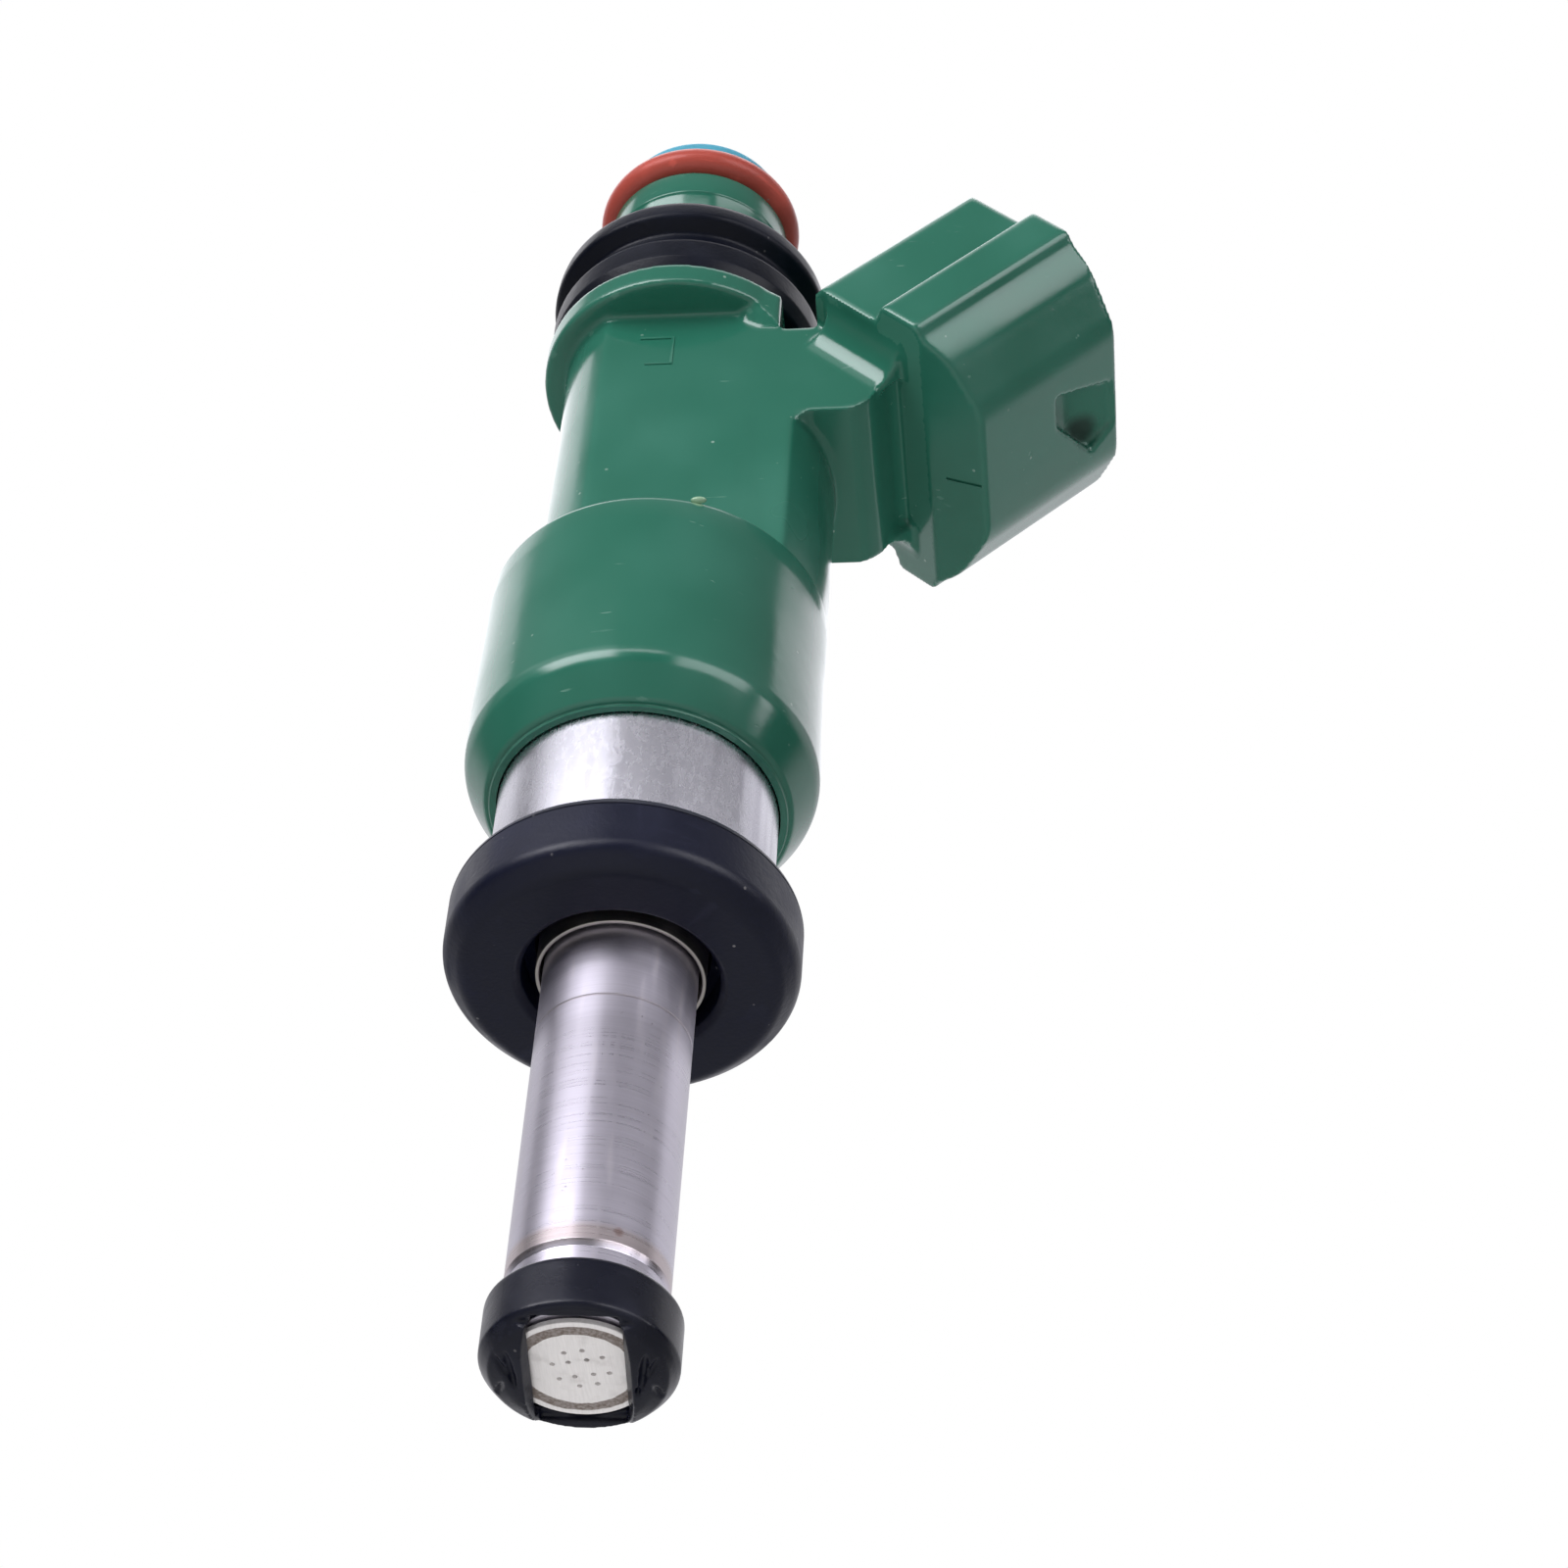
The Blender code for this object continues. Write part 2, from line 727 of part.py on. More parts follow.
def make_coil():
    bobbin = [
        (BOBBIN_FLANGE, BOBBIN_TOP),
        (BOBBIN_FLANGE, BOBBIN_TOP - FLANGE_THICKNESS),
        (BOBBIN_BARREL, BOBBIN_TOP - FLANGE_THICKNESS),
        (BOBBIN_BARREL, BOBBIN_BOTTOM + FLANGE_THICKNESS),
        (BOBBIN_FLANGE, BOBBIN_BOTTOM + FLANGE_THICKNESS),
        (BOBBIN_FLANGE, BOBBIN_BOTTOM),
        (BOBBIN_BORE, BOBBIN_BOTTOM),
        (BOBBIN_BORE, BOBBIN_TOP),
    ]
    finish(turned("coil_bobbin", bobbin), "natural_plastic")
    winding = tube_profile(
        BOBBIN_FLANGE - 0.15,
        BOBBIN_BARREL + GAP,
        BOBBIN_BOTTOM + FLANGE_THICKNESS + GAP,
        BOBBIN_TOP - FLANGE_THICKNESS - GAP,
    )
    finish(turned("coil_winding", winding), "copper")


def make_terminals():
    for number, side in ((1, -1), (2, 1)):
        blade = slab(
            f"terminal_{number}", terminal_outline(), BLADE_WIDTH, side_frame(side * BLADE_SPACING / 2)
        )
        finish(blade, "tinned")


# Rubber parts and the inlet ---------------------------------------------------


def make_cushion():
    edge = CUSHION_EDGE
    profile = [
        *arc((CUSHION_RADIUS - edge, CUSHION_TOP - edge), edge, 90, 0, 3),
        *arc((CUSHION_RADIUS - edge, CUSHION_BOTTOM + edge), edge, 0, -90, 3),
        (CUSHION_HOLE + 0.2, CUSHION_BOTTOM),
        (CUSHION_HOLE, CUSHION_BOTTOM + 0.2),
        (CUSHION_HOLE, CUSHION_BOTTOM + 1.6),
        (CUSHION_BORE, CUSHION_BOTTOM + 2.2),
        (CUSHION_BORE, CUSHION_TOP - 0.5),
        (CUSHION_RADIUS - 2.2, CUSHION_TOP - 0.5),
        (CUSHION_RADIUS - 2.2, CUSHION_TOP),
    ]
    finish(turned("lower_cushion", profile), "black_rubber")
    collar = [
        (COLLAR_FLANGE, SHELL_BOTTOM - GAP),
        (COLLAR_FLANGE, CUSHION_TOP - 0.4),
        (COLLAR_OUTER, CUSHION_TOP - 0.4),
        (COLLAR_OUTER, CUSHION_BOTTOM + 0.3),
        (COLLAR_INNER, CUSHION_BOTTOM + 0.3),
        (COLLAR_INNER, SHELL_BOTTOM - GAP),
    ]
    finish(turned("cushion_collar", collar), "bright_steel")


def make_grommet():
    low = RIM_TOP + 0.05
    profile = [
        (GROMMET_RADIUS - 0.5, GROMMET_TOP),
        (GROMMET_RADIUS, GROMMET_TOP - 0.5),
        (GROMMET_RADIUS, GROMMET_TOP - 1.6),
        (GROMMET_GROOVE, GROMMET_TOP - 2.3),
        (GROMMET_GROOVE, GROMMET_TOP - 3.0),
        (GROMMET_RADIUS - 0.2, GROMMET_TOP - 3.8),
        (GROMMET_RADIUS - 0.2, low + 1.0),
        (GROMMET_RADIUS - 0.5, low),
        (NECK_RADIUS + GAP, low),
        (NECK_RADIUS + GAP, GROMMET_TOP - 0.8),
        (NECK_RADIUS + 0.9, GROMMET_TOP),
    ]
    finish(turned("upper_grommet", profile), "black_rubber")


def make_o_ring():
    mesh_steps = 12
    profile = [
        (
            RING_CENTRE_RADIUS + RING_SECTION * math.cos(-math.tau * i / mesh_steps),
            RING_Z + RING_SECTION * math.sin(-math.tau * i / mesh_steps),
        )
        for i in range(mesh_steps)
    ]
    finish(turned("upper_o_ring", profile), "red_rubber")


def make_inlet():
    inlet = tube_profile(CORE_RADIUS, INLET_BORE, CORE_TOP + GAP, INLET_TOP)
    finish(turned("inlet_tube", inlet, SMALL_SEGMENTS), "stainless")

    # The frame's rim keeps the O-ring on, and its sleeve holds the gauze inside the tube
    frame_profile = [
        (FILTER_BORE + 0.3, FILTER_TOP),
        (FILTER_RIM_RADIUS - 0.5, FILTER_TOP),
        (FILTER_RIM_RADIUS, FILTER_TOP - 0.5),
        (FILTER_RIM_RADIUS, FILTER_RIM_BOTTOM),
        (FILTER_RADIUS, FILTER_RIM_BOTTOM),
        (FILTER_RADIUS, MESH_TOP + GAP),
        (FILTER_BORE, MESH_TOP + GAP),
        (FILTER_BORE, FILTER_TOP - 0.3),
    ]
    finish(turned("filter_frame", frame_profile, SEGMENTS), "cyan_plastic")
    gauze = tube_profile(MESH_RADIUS, MESH_RADIUS - MESH_WALL, MESH_BOTTOM + GAP, MESH_TOP)
    finish(turned("filter_gauze", gauze, SMALL_SEGMENTS), "white_mesh")
    foot = [
        (0, MESH_BOTTOM),
        (MESH_RADIUS, MESH_BOTTOM),
        (MESH_RADIUS, FILTER_BOTTOM + 0.6),
        (MESH_RADIUS - 1.0, FILTER_BOTTOM),
        (0, FILTER_BOTTOM),
    ]
    finish(turned("filter_foot", foot, SMALL_SEGMENTS), "cyan_plastic")


def hang_on_needle_axis(pieces):
    """The armature, the needle and the ball lift together along Z."""
    lift = bpy.data.objects.new("needle_lift", None)
    lift.empty_display_size = 2 * MM
    lift.location = (0, 0, BALL_CENTRE * MM)
    PARTS.objects.link(lift)
    bpy.context.view_layer.update()
    for piece in pieces:
        place = piece.matrix_world.copy()
        piece.parent = lift
        piece.matrix_parent_inverse = lift.matrix_world.inverted()
        piece.matrix_world = place


clear_scene()
PARTS = new_collection("fuel_injector")
CUTTERS = new_collection("cutters")
make_housing()
make_nozzle_tube()
make_orifice_plate()
make_valve_seat()
make_nozzle_cap()
moving = [make_ball(), make_needle(), make_armature()]
make_spring()
make_magnet()
make_coil()
make_terminals()
make_cushion()
make_grommet()
make_o_ring()
make_inlet()
hang_on_needle_axis(moving)
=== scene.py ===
import math

import bmesh
import bpy
import numpy as np
from mathutils import Matrix, Vector


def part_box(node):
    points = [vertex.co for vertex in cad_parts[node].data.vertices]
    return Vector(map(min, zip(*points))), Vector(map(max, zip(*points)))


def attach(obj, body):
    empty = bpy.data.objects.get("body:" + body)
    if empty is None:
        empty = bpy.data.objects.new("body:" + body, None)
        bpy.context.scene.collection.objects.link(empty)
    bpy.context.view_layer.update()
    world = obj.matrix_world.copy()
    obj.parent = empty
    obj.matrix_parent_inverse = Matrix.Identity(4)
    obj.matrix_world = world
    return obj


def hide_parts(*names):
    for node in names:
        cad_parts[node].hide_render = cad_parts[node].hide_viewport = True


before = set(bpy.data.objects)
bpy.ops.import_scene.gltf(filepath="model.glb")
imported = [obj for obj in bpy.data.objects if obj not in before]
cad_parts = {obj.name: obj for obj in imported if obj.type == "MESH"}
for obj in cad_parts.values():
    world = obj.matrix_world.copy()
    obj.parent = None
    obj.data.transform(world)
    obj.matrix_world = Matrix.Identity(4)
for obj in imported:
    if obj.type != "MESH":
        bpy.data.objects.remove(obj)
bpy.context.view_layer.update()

MM = 0.001
BODY = "injector_body"
FINE = 160  # facets round a turned piece
VOXEL = 0.17  # mm, grid of the moulded housing

# Sizes and places of the pieces are in millimetres, with the injector's axis along Z

# Housing, from the top down
HOUSING_TOP = 84.9
NECK_RADIUS = 5.1
RIM_RADIUS = 7.9
RIM_TOP = 70.2
RIM_BOTTOM = 68.4
NOTCH_FLOOR = 66.9
BODY_RADIUS = 8.95  # towards the connector
REAR_RADIUS = 6.6  # away from it
BODY_HALF_WIDTH = 5.5
BODY_HEIGHT = 21.9
BODY_MIDDLE = 57.75
COVER_RADIUS = 9.04
COVER_TOP = 48.8
COVER_BOTTOM = 34.5
GAP = 0.08  # between the housing and the pieces in it

# Connector, along its own axis from the origin and across it
CONNECTOR_TILT = math.radians(45)
CONNECTOR_UP = 37.2  # the axis passes this far above the origin
SHROUD_START = 53.3
SHROUD_END = 65.0
SHROUD_SIDE = 8.1
SHROUD_LOW = -6.9
SHROUD_HIGH = 4.8
SHROUD_WALL = 1.35
RIB_SIDE = 9.3
SOCKET_FLOOR = 56.6
SOCKET_DEPTH = 9.4

# Terminals
TERMINAL_X = 4.5
TERMINAL_Y = 2.5
TERMINAL_FOOT = 46.0
TERMINAL_TIP = 61.6  # along the connector
TERMINAL_HALF = 0.35  # half its thickness
TERMINAL_WIDTH = 2.2

# Nozzle: height of the tube's groove, spray holes by ring radius and angle, turn of the cap
TUBE_GROOVE = 18.79
SPRAY_RINGS = (
    (1.25, (-165, -119, -81, -36, 16, 61, 99, 145)),
    (0.65, (-139, -61, 40, 120)),
)
SPRAY_HOLE = 0.125
SPRAY_TILT = math.radians(12)
CAP_TURN = math.radians(3.3)

# Marks in the materials
GATE = (2.97, -8.5, 48.75)  # where the plastic entered the mould
LATCH_SHADE = (22.3, 1.9, 66.4)  # painted shade in the latch's window, where the recess lies in shadow
TUBE_SPOT = (1.75, -3.32, 4.95)  # brown spot above the tip


def box_mm(node):
    low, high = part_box(node)
    return Vector(low) / MM, Vector(high) / MM


# Shapes ---------------------------------------------------------------------


def rounded(points, closed=True, steps=6):
    """An outline with its corners rounded. Each point is (x, y) or (x, y, radius)."""
    made = []
    count = len(points)
    for i, point in enumerate(points):
        here = Vector(point[:2])
        end = not closed and i in (0, count - 1)
        if len(point) < 3 or end:
            made.append(tuple(here))
            continue
        back = (Vector(points[i - 1][:2]) - here).normalized()
        ahead = (Vector(points[(i + 1) % count][:2]) - here).normalized()
        angle = back.angle(ahead)
        reach = point[2] / math.tan(angle / 2)
        start, finish = here + back * reach, here + ahead * reach
        centre = here + (back + ahead).normalized() * point[2] / math.sin(angle / 2)
        a = math.atan2(*(start - centre).yx)
        turn = math.atan2(*(finish - centre).yx) - a
        turn = (turn + math.pi) % math.tau - math.pi
        for k in range(steps + 1):
            b = a + turn * k / steps
            made.append((centre.x + point[2] * math.cos(b), centre.y + point[2] * math.sin(b)))
    return made


def arc(centre, radius, start, end, steps):
    angles = [math.radians(start + (end - start) * i / steps) for i in range(steps + 1)]
    return [(centre[0] + radius * math.cos(a), centre[1] + radius * math.sin(a)) for a in angles]


def new_object(name, work):
    mesh = bpy.data.meshes.new(name)
    bmesh.ops.remove_doubles(work, verts=work.verts, dist=1e-7)
    bmesh.ops.recalc_face_normals(work, faces=work.faces)
    work.to_mesh(mesh)
    work.free()
    obj = bpy.data.objects.new(name, mesh)
    bpy.context.scene.collection.objects.link(obj)
    return obj


def revolve(name, outline, segments=FINE):
    """Turns a closed (radius, height) outline round Z."""
    work = bmesh.new()
    rings = []
    for i in range(segments):
        angle = math.tau * i / segments
        ring = []
        for r, z in outline:
            ring.append(work.verts.new((r * math.cos(angle) * MM, r * math.sin(angle) * MM, z * MM)))
        rings.append(ring)
    count = len(outline)
    for i in range(segments):
        here, after = rings[i], rings[(i + 1) % segments]
        for j in range(count):
            k = (j + 1) % count
            if outline[j][0] == 0 and outline[k][0] == 0:
                continue
            work.faces.new((here[j], here[k], after[k], after[j]))
    bmesh.ops.remove_doubles(work, verts=work.verts, dist=1e-7)
    bmesh.ops.dissolve_degenerate(work, edges=work.edges, dist=1e-8)
    return new_object(name, work)


def extrude(name, outline, length, place=None):
    """A flat outline of (x, y) points, length long about its plane, placed by a matrix in mm."""
    work = bmesh.new()
    base = work.faces.new([work.verts.new((x, y, -length / 2)) for x, y in outline])
    made = bmesh.ops.extrude_face_region(work, geom=[base])
    risen = [v for v in made["geom"] if isinstance(v, bmesh.types.BMVert)]
    bmesh.ops.translate(work, vec=(0, 0, length), verts=risen)
    bmesh.ops.transform(work, matrix=place or Matrix.Identity(4), verts=work.verts)
    bmesh.ops.scale(work, vec=(MM, MM, MM), verts=work.verts)
    return new_object(name, work)


def block(name, low, high, place=None):
    outline = [(low[0], low[1]), (high[0], low[1]), (high[0], high[1]), (low[0], high[1])]
    middle = Matrix.Translation((0, 0, (low[2] + high[2]) / 2))
    return extrude(name, outline, high[2] - low[2], (place or Matrix.Identity(4)) @ middle)


def ball(name, centre, size, place=None):
    """An ellipsoid with the three half-axes in size, turned and moved by place."""
    work = bmesh.new()
    bmesh.ops.create_uvsphere(work, u_segments=24, v_segments=16, radius=1)
    grow = Matrix.Diagonal((*size, 1))
    matrix = (place or Matrix.Identity(4)) @ Matrix.Translation(centre) @ grow
    bmesh.ops.transform(work, matrix=matrix, verts=work.verts)
    bmesh.ops.scale(work, vec=(MM, MM, MM), verts=work.verts)
    return new_object(name, work)


def apply(obj):
    """Bakes an object's modifiers into its mesh."""
    graph = bpy.context.evaluated_depsgraph_get()
    graph.update()
    mesh = bpy.data.meshes.new_from_object(obj.evaluated_get(graph))
    obj.modifiers.clear()
    obj.data = mesh
    return obj


def combine(target, others, operation):
    """Joins, cuts or intersects target with the others, which are used up."""
    for other in others:
        step = target.modifiers.new(other.name, "BOOLEAN")
        step.operation = operation
        step.solver = "EXACT"
        step.object = other
    apply(target)
    for other in others:
        bpy.data.objects.remove(other, do_unlink=True)
    return target


def soften(obj, voxel, rounds):
    """Remeshes a joined shape on a fine grid and relaxes it, which rounds its edges as a mould does."""
    remesh = obj.modifiers.new("remesh", "REMESH")
    remesh.mode = "VOXEL"
    remesh.voxel_size = voxel * MM
    apply(obj)
    relax = obj.modifiers.new("relax", "SMOOTH")
    relax.factor = 0.5
    relax.iterations = rounds
    return apply(obj)


def frame_at(origin, *axes):
    """Placement at origin, with the given directions as its x, y and z axes."""
    return Matrix.Translation(origin) @ Matrix(axes).transposed().to_4x4()


def connector_axes():
    """The connector's directions: across it (+Y), up it and along it."""
    forward = Vector((math.cos(CONNECTOR_TILT), 0, math.sin(CONNECTOR_TILT)))
    upward = Vector((-math.sin(CONNECTOR_TILT), 0, math.cos(CONNECTOR_TILT)))
    return upward.cross(forward), upward, forward


def connector_frame(along, up=CONNECTOR_UP):
    """Cross-section of the connector: x across it, y up it, z along it."""
    across, upward, forward = connector_axes()
    return frame_at(forward * along + upward * up, across, upward, forward)


def side_frame(y=0.0):
    """Side view: x stays X, y becomes Z, and the depth runs along Y."""
    place = Matrix.Rotation(math.radians(90), 4, "X")
    place.translation = (0, y, 0)
    return place


def lift(z):
    return Matrix.Translation((0, 0, z))


def at_connector(along, up):
    """The X and Z of a point given along the connector's axis and across it."""
    return (
        along * math.cos(CONNECTOR_TILT) - up * math.sin(CONNECTOR_TILT),
        along * math.sin(CONNECTOR_TILT) + up * math.cos(CONNECTOR_TILT),
    )


# Looks ------------------------------------------------------------------------


SOCKETS = {"ior": "IOR", "specular": "Specular IOR Level"}


class Look:
    """A procedural material. Its patterns are placed in the object's own coordinates, in mm."""

    def __init__(self, name, colour, roughness, metallic=0.0, **sockets):
        self.material = bpy.data.materials.new(name)
        self.material.use_nodes = True
        self.tree = self.material.node_tree
        self.shader = self.tree.nodes["Principled BSDF"]
        self.shader.inputs["Metallic"].default_value = metallic
        for socket, value in sockets.items():
            self.shader.inputs[SOCKETS[socket]].default_value = value
        self.colour = self.paint(colour)
        self.roughness = self.value(roughness)
        self.height = None
        coordinates = self.node("ShaderNodeTexCoord")
        scale = self.node("ShaderNodeVectorMath", operation="SCALE")
        scale.inputs["Scale"].default_value = 1 / MM
        self.link(coordinates.outputs["Object"], scale.inputs[0])
        self.place = scale.outputs[0]

    def node(self, kind, **settings):
        made = self.tree.nodes.new(kind)
        for name, value in settings.items():
            setattr(made, name, value)
        return made

    def link(self, source, target):
        self.tree.links.new(source, target)

    def value(self, number):
        made = self.node("ShaderNodeValue")
        made.outputs[0].default_value = number
        return made.outputs[0]

    def paint(self, colour):
        made = self.node("ShaderNodeRGB")
        made.outputs[0].default_value = (*colour, 1.0)
        return made.outputs[0]

    def math(self, operation, a, b=0.0, clamp=False):
        made = self.node("ShaderNodeMath", operation=operation, use_clamp=clamp)
        for socket, value in zip(made.inputs, (a, b)):
            if isinstance(value, (int, float)):
                socket.default_value = value
            else:
                self.link(value, socket)
        return made.outputs[0]

    def noise(self, size, detail=3.0, stretch=(1, 1, 1), seed=0.0, distortion=0.0, rough=0.5):
        """Noise from 0 to 1 with features about size mm across, times stretch along each axis."""
        mapping = self.node("ShaderNodeMapping")
        mapping.inputs["Location"].default_value = (seed, seed * 0.7, -seed)
        mapping.inputs["Scale"].default_value = [1 / (size * s) for s in stretch]
        self.link(self.place, mapping.inputs["Vector"])
        made = self.node("ShaderNodeTexNoise")
        made.inputs["Scale"].default_value = 1.0
        made.inputs["Detail"].default_value = detail
        made.inputs["Roughness"].default_value = rough
        made.inputs["Distortion"].default_value = distortion
        self.link(mapping.outputs[0], made.inputs["Vector"])
        return made.outputs[0]

    def cells(self, size, seed=0.0, stretch=(1, 1, 1)):
        """Distance to the nearest of scattered points, in cells."""
        mapping = self.node("ShaderNodeMapping")
        mapping.inputs["Location"].default_value = (seed, -seed, seed * 0.3)
        mapping.inputs["Scale"].default_value = [1 / (size * s) for s in stretch]
        self.link(self.place, mapping.inputs["Vector"])
        made = self.node("ShaderNodeTexVoronoi")
        made.inputs["Scale"].default_value = 1.0
        self.link(mapping.outputs[0], made.inputs["Vector"])
        return made.outputs["Distance"]

    def step(self, value, low, high, out_low=0.0, out_high=1.0):
        """A smooth step of value from out_low at low to out_high at high."""
        made = self.node("ShaderNodeMapRange", interpolation_type="SMOOTHSTEP")
        self.link(value, made.inputs["Value"])
        flipped = low > high
        limits = (high, low) if flipped else (low, high)
        outs = (out_high, out_low) if flipped else (out_low, out_high)
        for name, number in zip(("From Min", "From Max", "To Min", "To Max"), (*limits, *outs)):
            made.inputs[name].default_value = number
        return made.outputs["Result"]

    def axis(self, index):
        """The point's X, Y or Z in mm."""
        made = self.node("ShaderNodeSeparateXYZ")
        self.link(self.place, made.inputs[0])
        return made.outputs[index]

    def radius(self):
        """Distance to the injector's axis in mm."""
        x, y = self.axis(0), self.axis(1)
        total = self.math("ADD", self.math("MULTIPLY", x, x), self.math("MULTIPLY", y, y))
        return self.math("SQRT", total)

    def distance(self, point):
        """Distance to a point in mm."""
        made = self.node("ShaderNodeVectorMath", operation="DISTANCE")
        self.link(self.place, made.inputs[0])
        made.inputs[1].default_value = point
        return made.outputs["Value"]

    def band(self, value, low, high, edge):
        """1 between low and high, falling to 0 over edge."""
        rise = self.step(value, low - edge, low)
        fall = self.step(value, high, high + edge, 1.0, 0.0)
        return self.math("MULTIPLY", rise, fall)

    def tint(self, colour, factor):
        """Mixes colour over the present colour by factor."""
        made = self.node("ShaderNodeMixRGB")
        self.link(factor, made.inputs["Fac"])
        self.link(self.colour, made.inputs["Color1"])
        made.inputs["Color2"].default_value = (*colour, 1.0)
        self.colour = made.outputs[0]

    def shade(self, factor):
        """Multiplies the present colour by factor."""
        made = self.node("ShaderNodeVectorMath", operation="SCALE")
        self.link(self.colour, made.inputs[0])
        self.link(factor, made.inputs["Scale"])
        self.colour = made.outputs[0]

    def rough(self, change):
        """Adds change to the roughness."""
        self.roughness = self.math("ADD", self.roughness, change, clamp=True)

    def raise_by(self, height):
        """Adds height, in mm, to the bump."""
        self.height = height if self.height is None else self.math("ADD", self.height, height)

    def edges(self):
        """Geometry's pointiness, above 0.5 on outer edges."""
        return self.node("ShaderNodeNewGeometry").outputs["Pointiness"]

    def done(self):
        """Links the colour, roughness and bump to the shader, and gives the material."""
        self.link(self.colour, self.shader.inputs["Base Color"])
        self.link(self.roughness, self.shader.inputs["Roughness"])
        if self.height is not None:
            bump = self.node("ShaderNodeBump")
            bump.inputs["Distance"].default_value = MM
            self.link(self.height, bump.inputs["Height"])
            self.link(bump.outputs["Normal"], self.shader.inputs["Normal"])
        return self.material


def green_look():
    """Moulded nylon: cloudy colour, worn edges, specks of dust, fine scratches, and painted shade in the
    latch's window.
    """
    look = Look("green_plastic_moulded", (0.021, 0.144, 0.096), 0.18, ior=1.5)
    cloud = look.noise(9, 2)
    look.tint((0.034, 0.175, 0.125), look.step(cloud, 0.35, 0.75, 0.0, 0.6))
    flow = look.noise(3, 4, stretch=(1, 1, 3), seed=3)
    look.tint((0.020, 0.128, 0.086), look.step(flow, 0.5, 0.8, 0.0, 0.35))
    look.tint((0.10, 0.26, 0.20), look.step(look.edges(), 0.53, 0.62, 0.0, 0.35))
    dust = look.cells(1.5, seed=4)
    fewer = look.step(look.noise(4, 1, seed=9), 0.52, 0.6)
    specks = look.math("MULTIPLY", look.step(dust, 0.075, 0.045), fewer)
    look.tint((0.33, 0.46, 0.40), look.math("MULTIPLY", specks, 0.7))
    scratches = look.noise(0.45, 2, stretch=(6, 1, 0.7), seed=11)
    scratched = look.step(look.noise(5, 1, seed=2), 0.5, 0.62)
    fine = look.math("MULTIPLY", look.step(scratches, 0.70, 0.76), scratched)
    look.tint((0.16, 0.32, 0.26), look.math("MULTIPLY", fine, 0.35))
    look.tint((0.34, 0.52, 0.34), look.step(look.distance(GATE), 0.55, 0.3, 0.0, 0.8))
    # Painted shade: the colour darkens round a point in the latch's window, where the recess lies in shadow;
    # the roughness rises there too.
    latch_shade = look.step(look.distance(LATCH_SHADE), 1.5, 0.5)
    look.tint((0.003, 0.020, 0.013), look.math("MULTIPLY", latch_shade, 0.9))
    look.rough(look.math("MULTIPLY", latch_shade, 0.45))
    look.rough(look.step(cloud, 0.3, 0.8, -0.05, 0.10))
    look.rough(look.math("MULTIPLY", fine, 0.15))
    look.raise_by(look.math("MULTIPLY", look.noise(0.9, 3, seed=5), 0.006))
    look.raise_by(look.math("MULTIPLY", look.noise(6, 1, seed=6), 0.02))
    look.raise_by(look.math("MULTIPLY", fine, -0.004))
    return look.done()


def tube_look():
    """Turned stainless tube: fine lines round it, rubbed patches, a heat tint above the tip, and painted
    light towards its top.
    """
    look = Look("turned_stainless", (0.53, 0.505, 0.575), 0.28, 1.0)
    lines = look.noise(0.10, 3, stretch=(90, 90, 1), seed=1)
    wide = look.noise(0.8, 3, stretch=(12, 12, 1), seed=8)
    look.shade(look.step(lines, 0.25, 0.8, 0.95, 1.04))
    look.shade(look.step(wide, 0.3, 0.75, 0.97, 1.02))
    rubs = look.noise(1.2, 4, stretch=(0.5, 0.5, 5), seed=20)
    look.tint((0.62, 0.58, 0.60), look.step(rubs, 0.55, 0.75, 0.0, 0.35))
    marks = look.noise(0.35, 3, stretch=(1, 1, 1.2), seed=14)
    sparse = look.step(look.noise(2.5, 1, seed=31), 0.50, 0.62)
    pits = look.math("MULTIPLY", look.step(marks, 0.68, 0.74), sparse)
    look.tint((0.20, 0.18, 0.20), look.math("MULTIPLY", pits, 0.55))
    height = look.axis(2)
    look.tint((0.42, 0.33, 0.28), look.math("MULTIPLY", look.band(height, 4.45, 4.9, 0.5), 0.5))
    groove = look.band(height, TUBE_GROOVE - 0.04, TUBE_GROOVE + 0.04, 0.06)
    look.tint((0.30, 0.26, 0.28), look.math("MULTIPLY", groove, 0.55))
    spot = look.math("ADD", look.distance(TUBE_SPOT), look.math("MULTIPLY", marks, 0.3))
    look.tint((0.22, 0.12, 0.10), look.math("MULTIPLY", look.step(spot, 0.46, 0.28), 0.6))
    # Painted light: the colour grows up to 1.3 times brighter from just below the groove to the top,
    # lightening the dark rubber the tube mirrors there.
    look.shade(look.step(height, 16.5, 20.5, 1.0, 1.30))
    look.rough(look.step(height, 16.5, 20.5, 0.0, 0.10))
    look.rough(look.step(lines, 0.2, 0.8, -0.02, 0.04))
    look.rough(look.step(rubs, 0.5, 0.8, 0.0, 0.08))
    look.raise_by(look.math("MULTIPLY", lines, 0.0003))
    look.raise_by(look.math("MULTIPLY", wide, 0.0004))
    look.raise_by(look.math("MULTIPLY", pits, -0.004))
    return look.done()


def shell_look():
    """Plated steel shell: bright, with pits, short scratches and dull bands along it."""
    look = Look("plated_shell", (0.65, 0.645, 0.70), 0.25, 1.0)
    bands = look.noise(1.6, 2, stretch=(1, 1, 12), seed=2)
    look.tint((0.36, 0.35, 0.40), look.step(bands, 0.52, 0.72, 0.0, 0.55))
    scuffs = look.noise(0.32, 4, stretch=(1, 1, 2.2), seed=5, distortion=0.8)
    look.tint((0.24, 0.22, 0.25), look.math("MULTIPLY", look.step(scuffs, 0.62, 0.72), 0.16))
    glints = look.noise(0.22, 3, stretch=(1, 1, 3), seed=15, distortion=1.0)
    look.tint((0.85, 0.84, 0.86), look.math("MULTIPLY", look.step(glints, 0.64, 0.72), 0.25))
    look.rough(look.step(scuffs, 0.4, 0.7, 0.0, 0.05))
    look.raise_by(look.math("MULTIPLY", scuffs, -0.003))
    look.raise_by(look.math("MULTIPLY", bands, 0.004))
    return look.done()


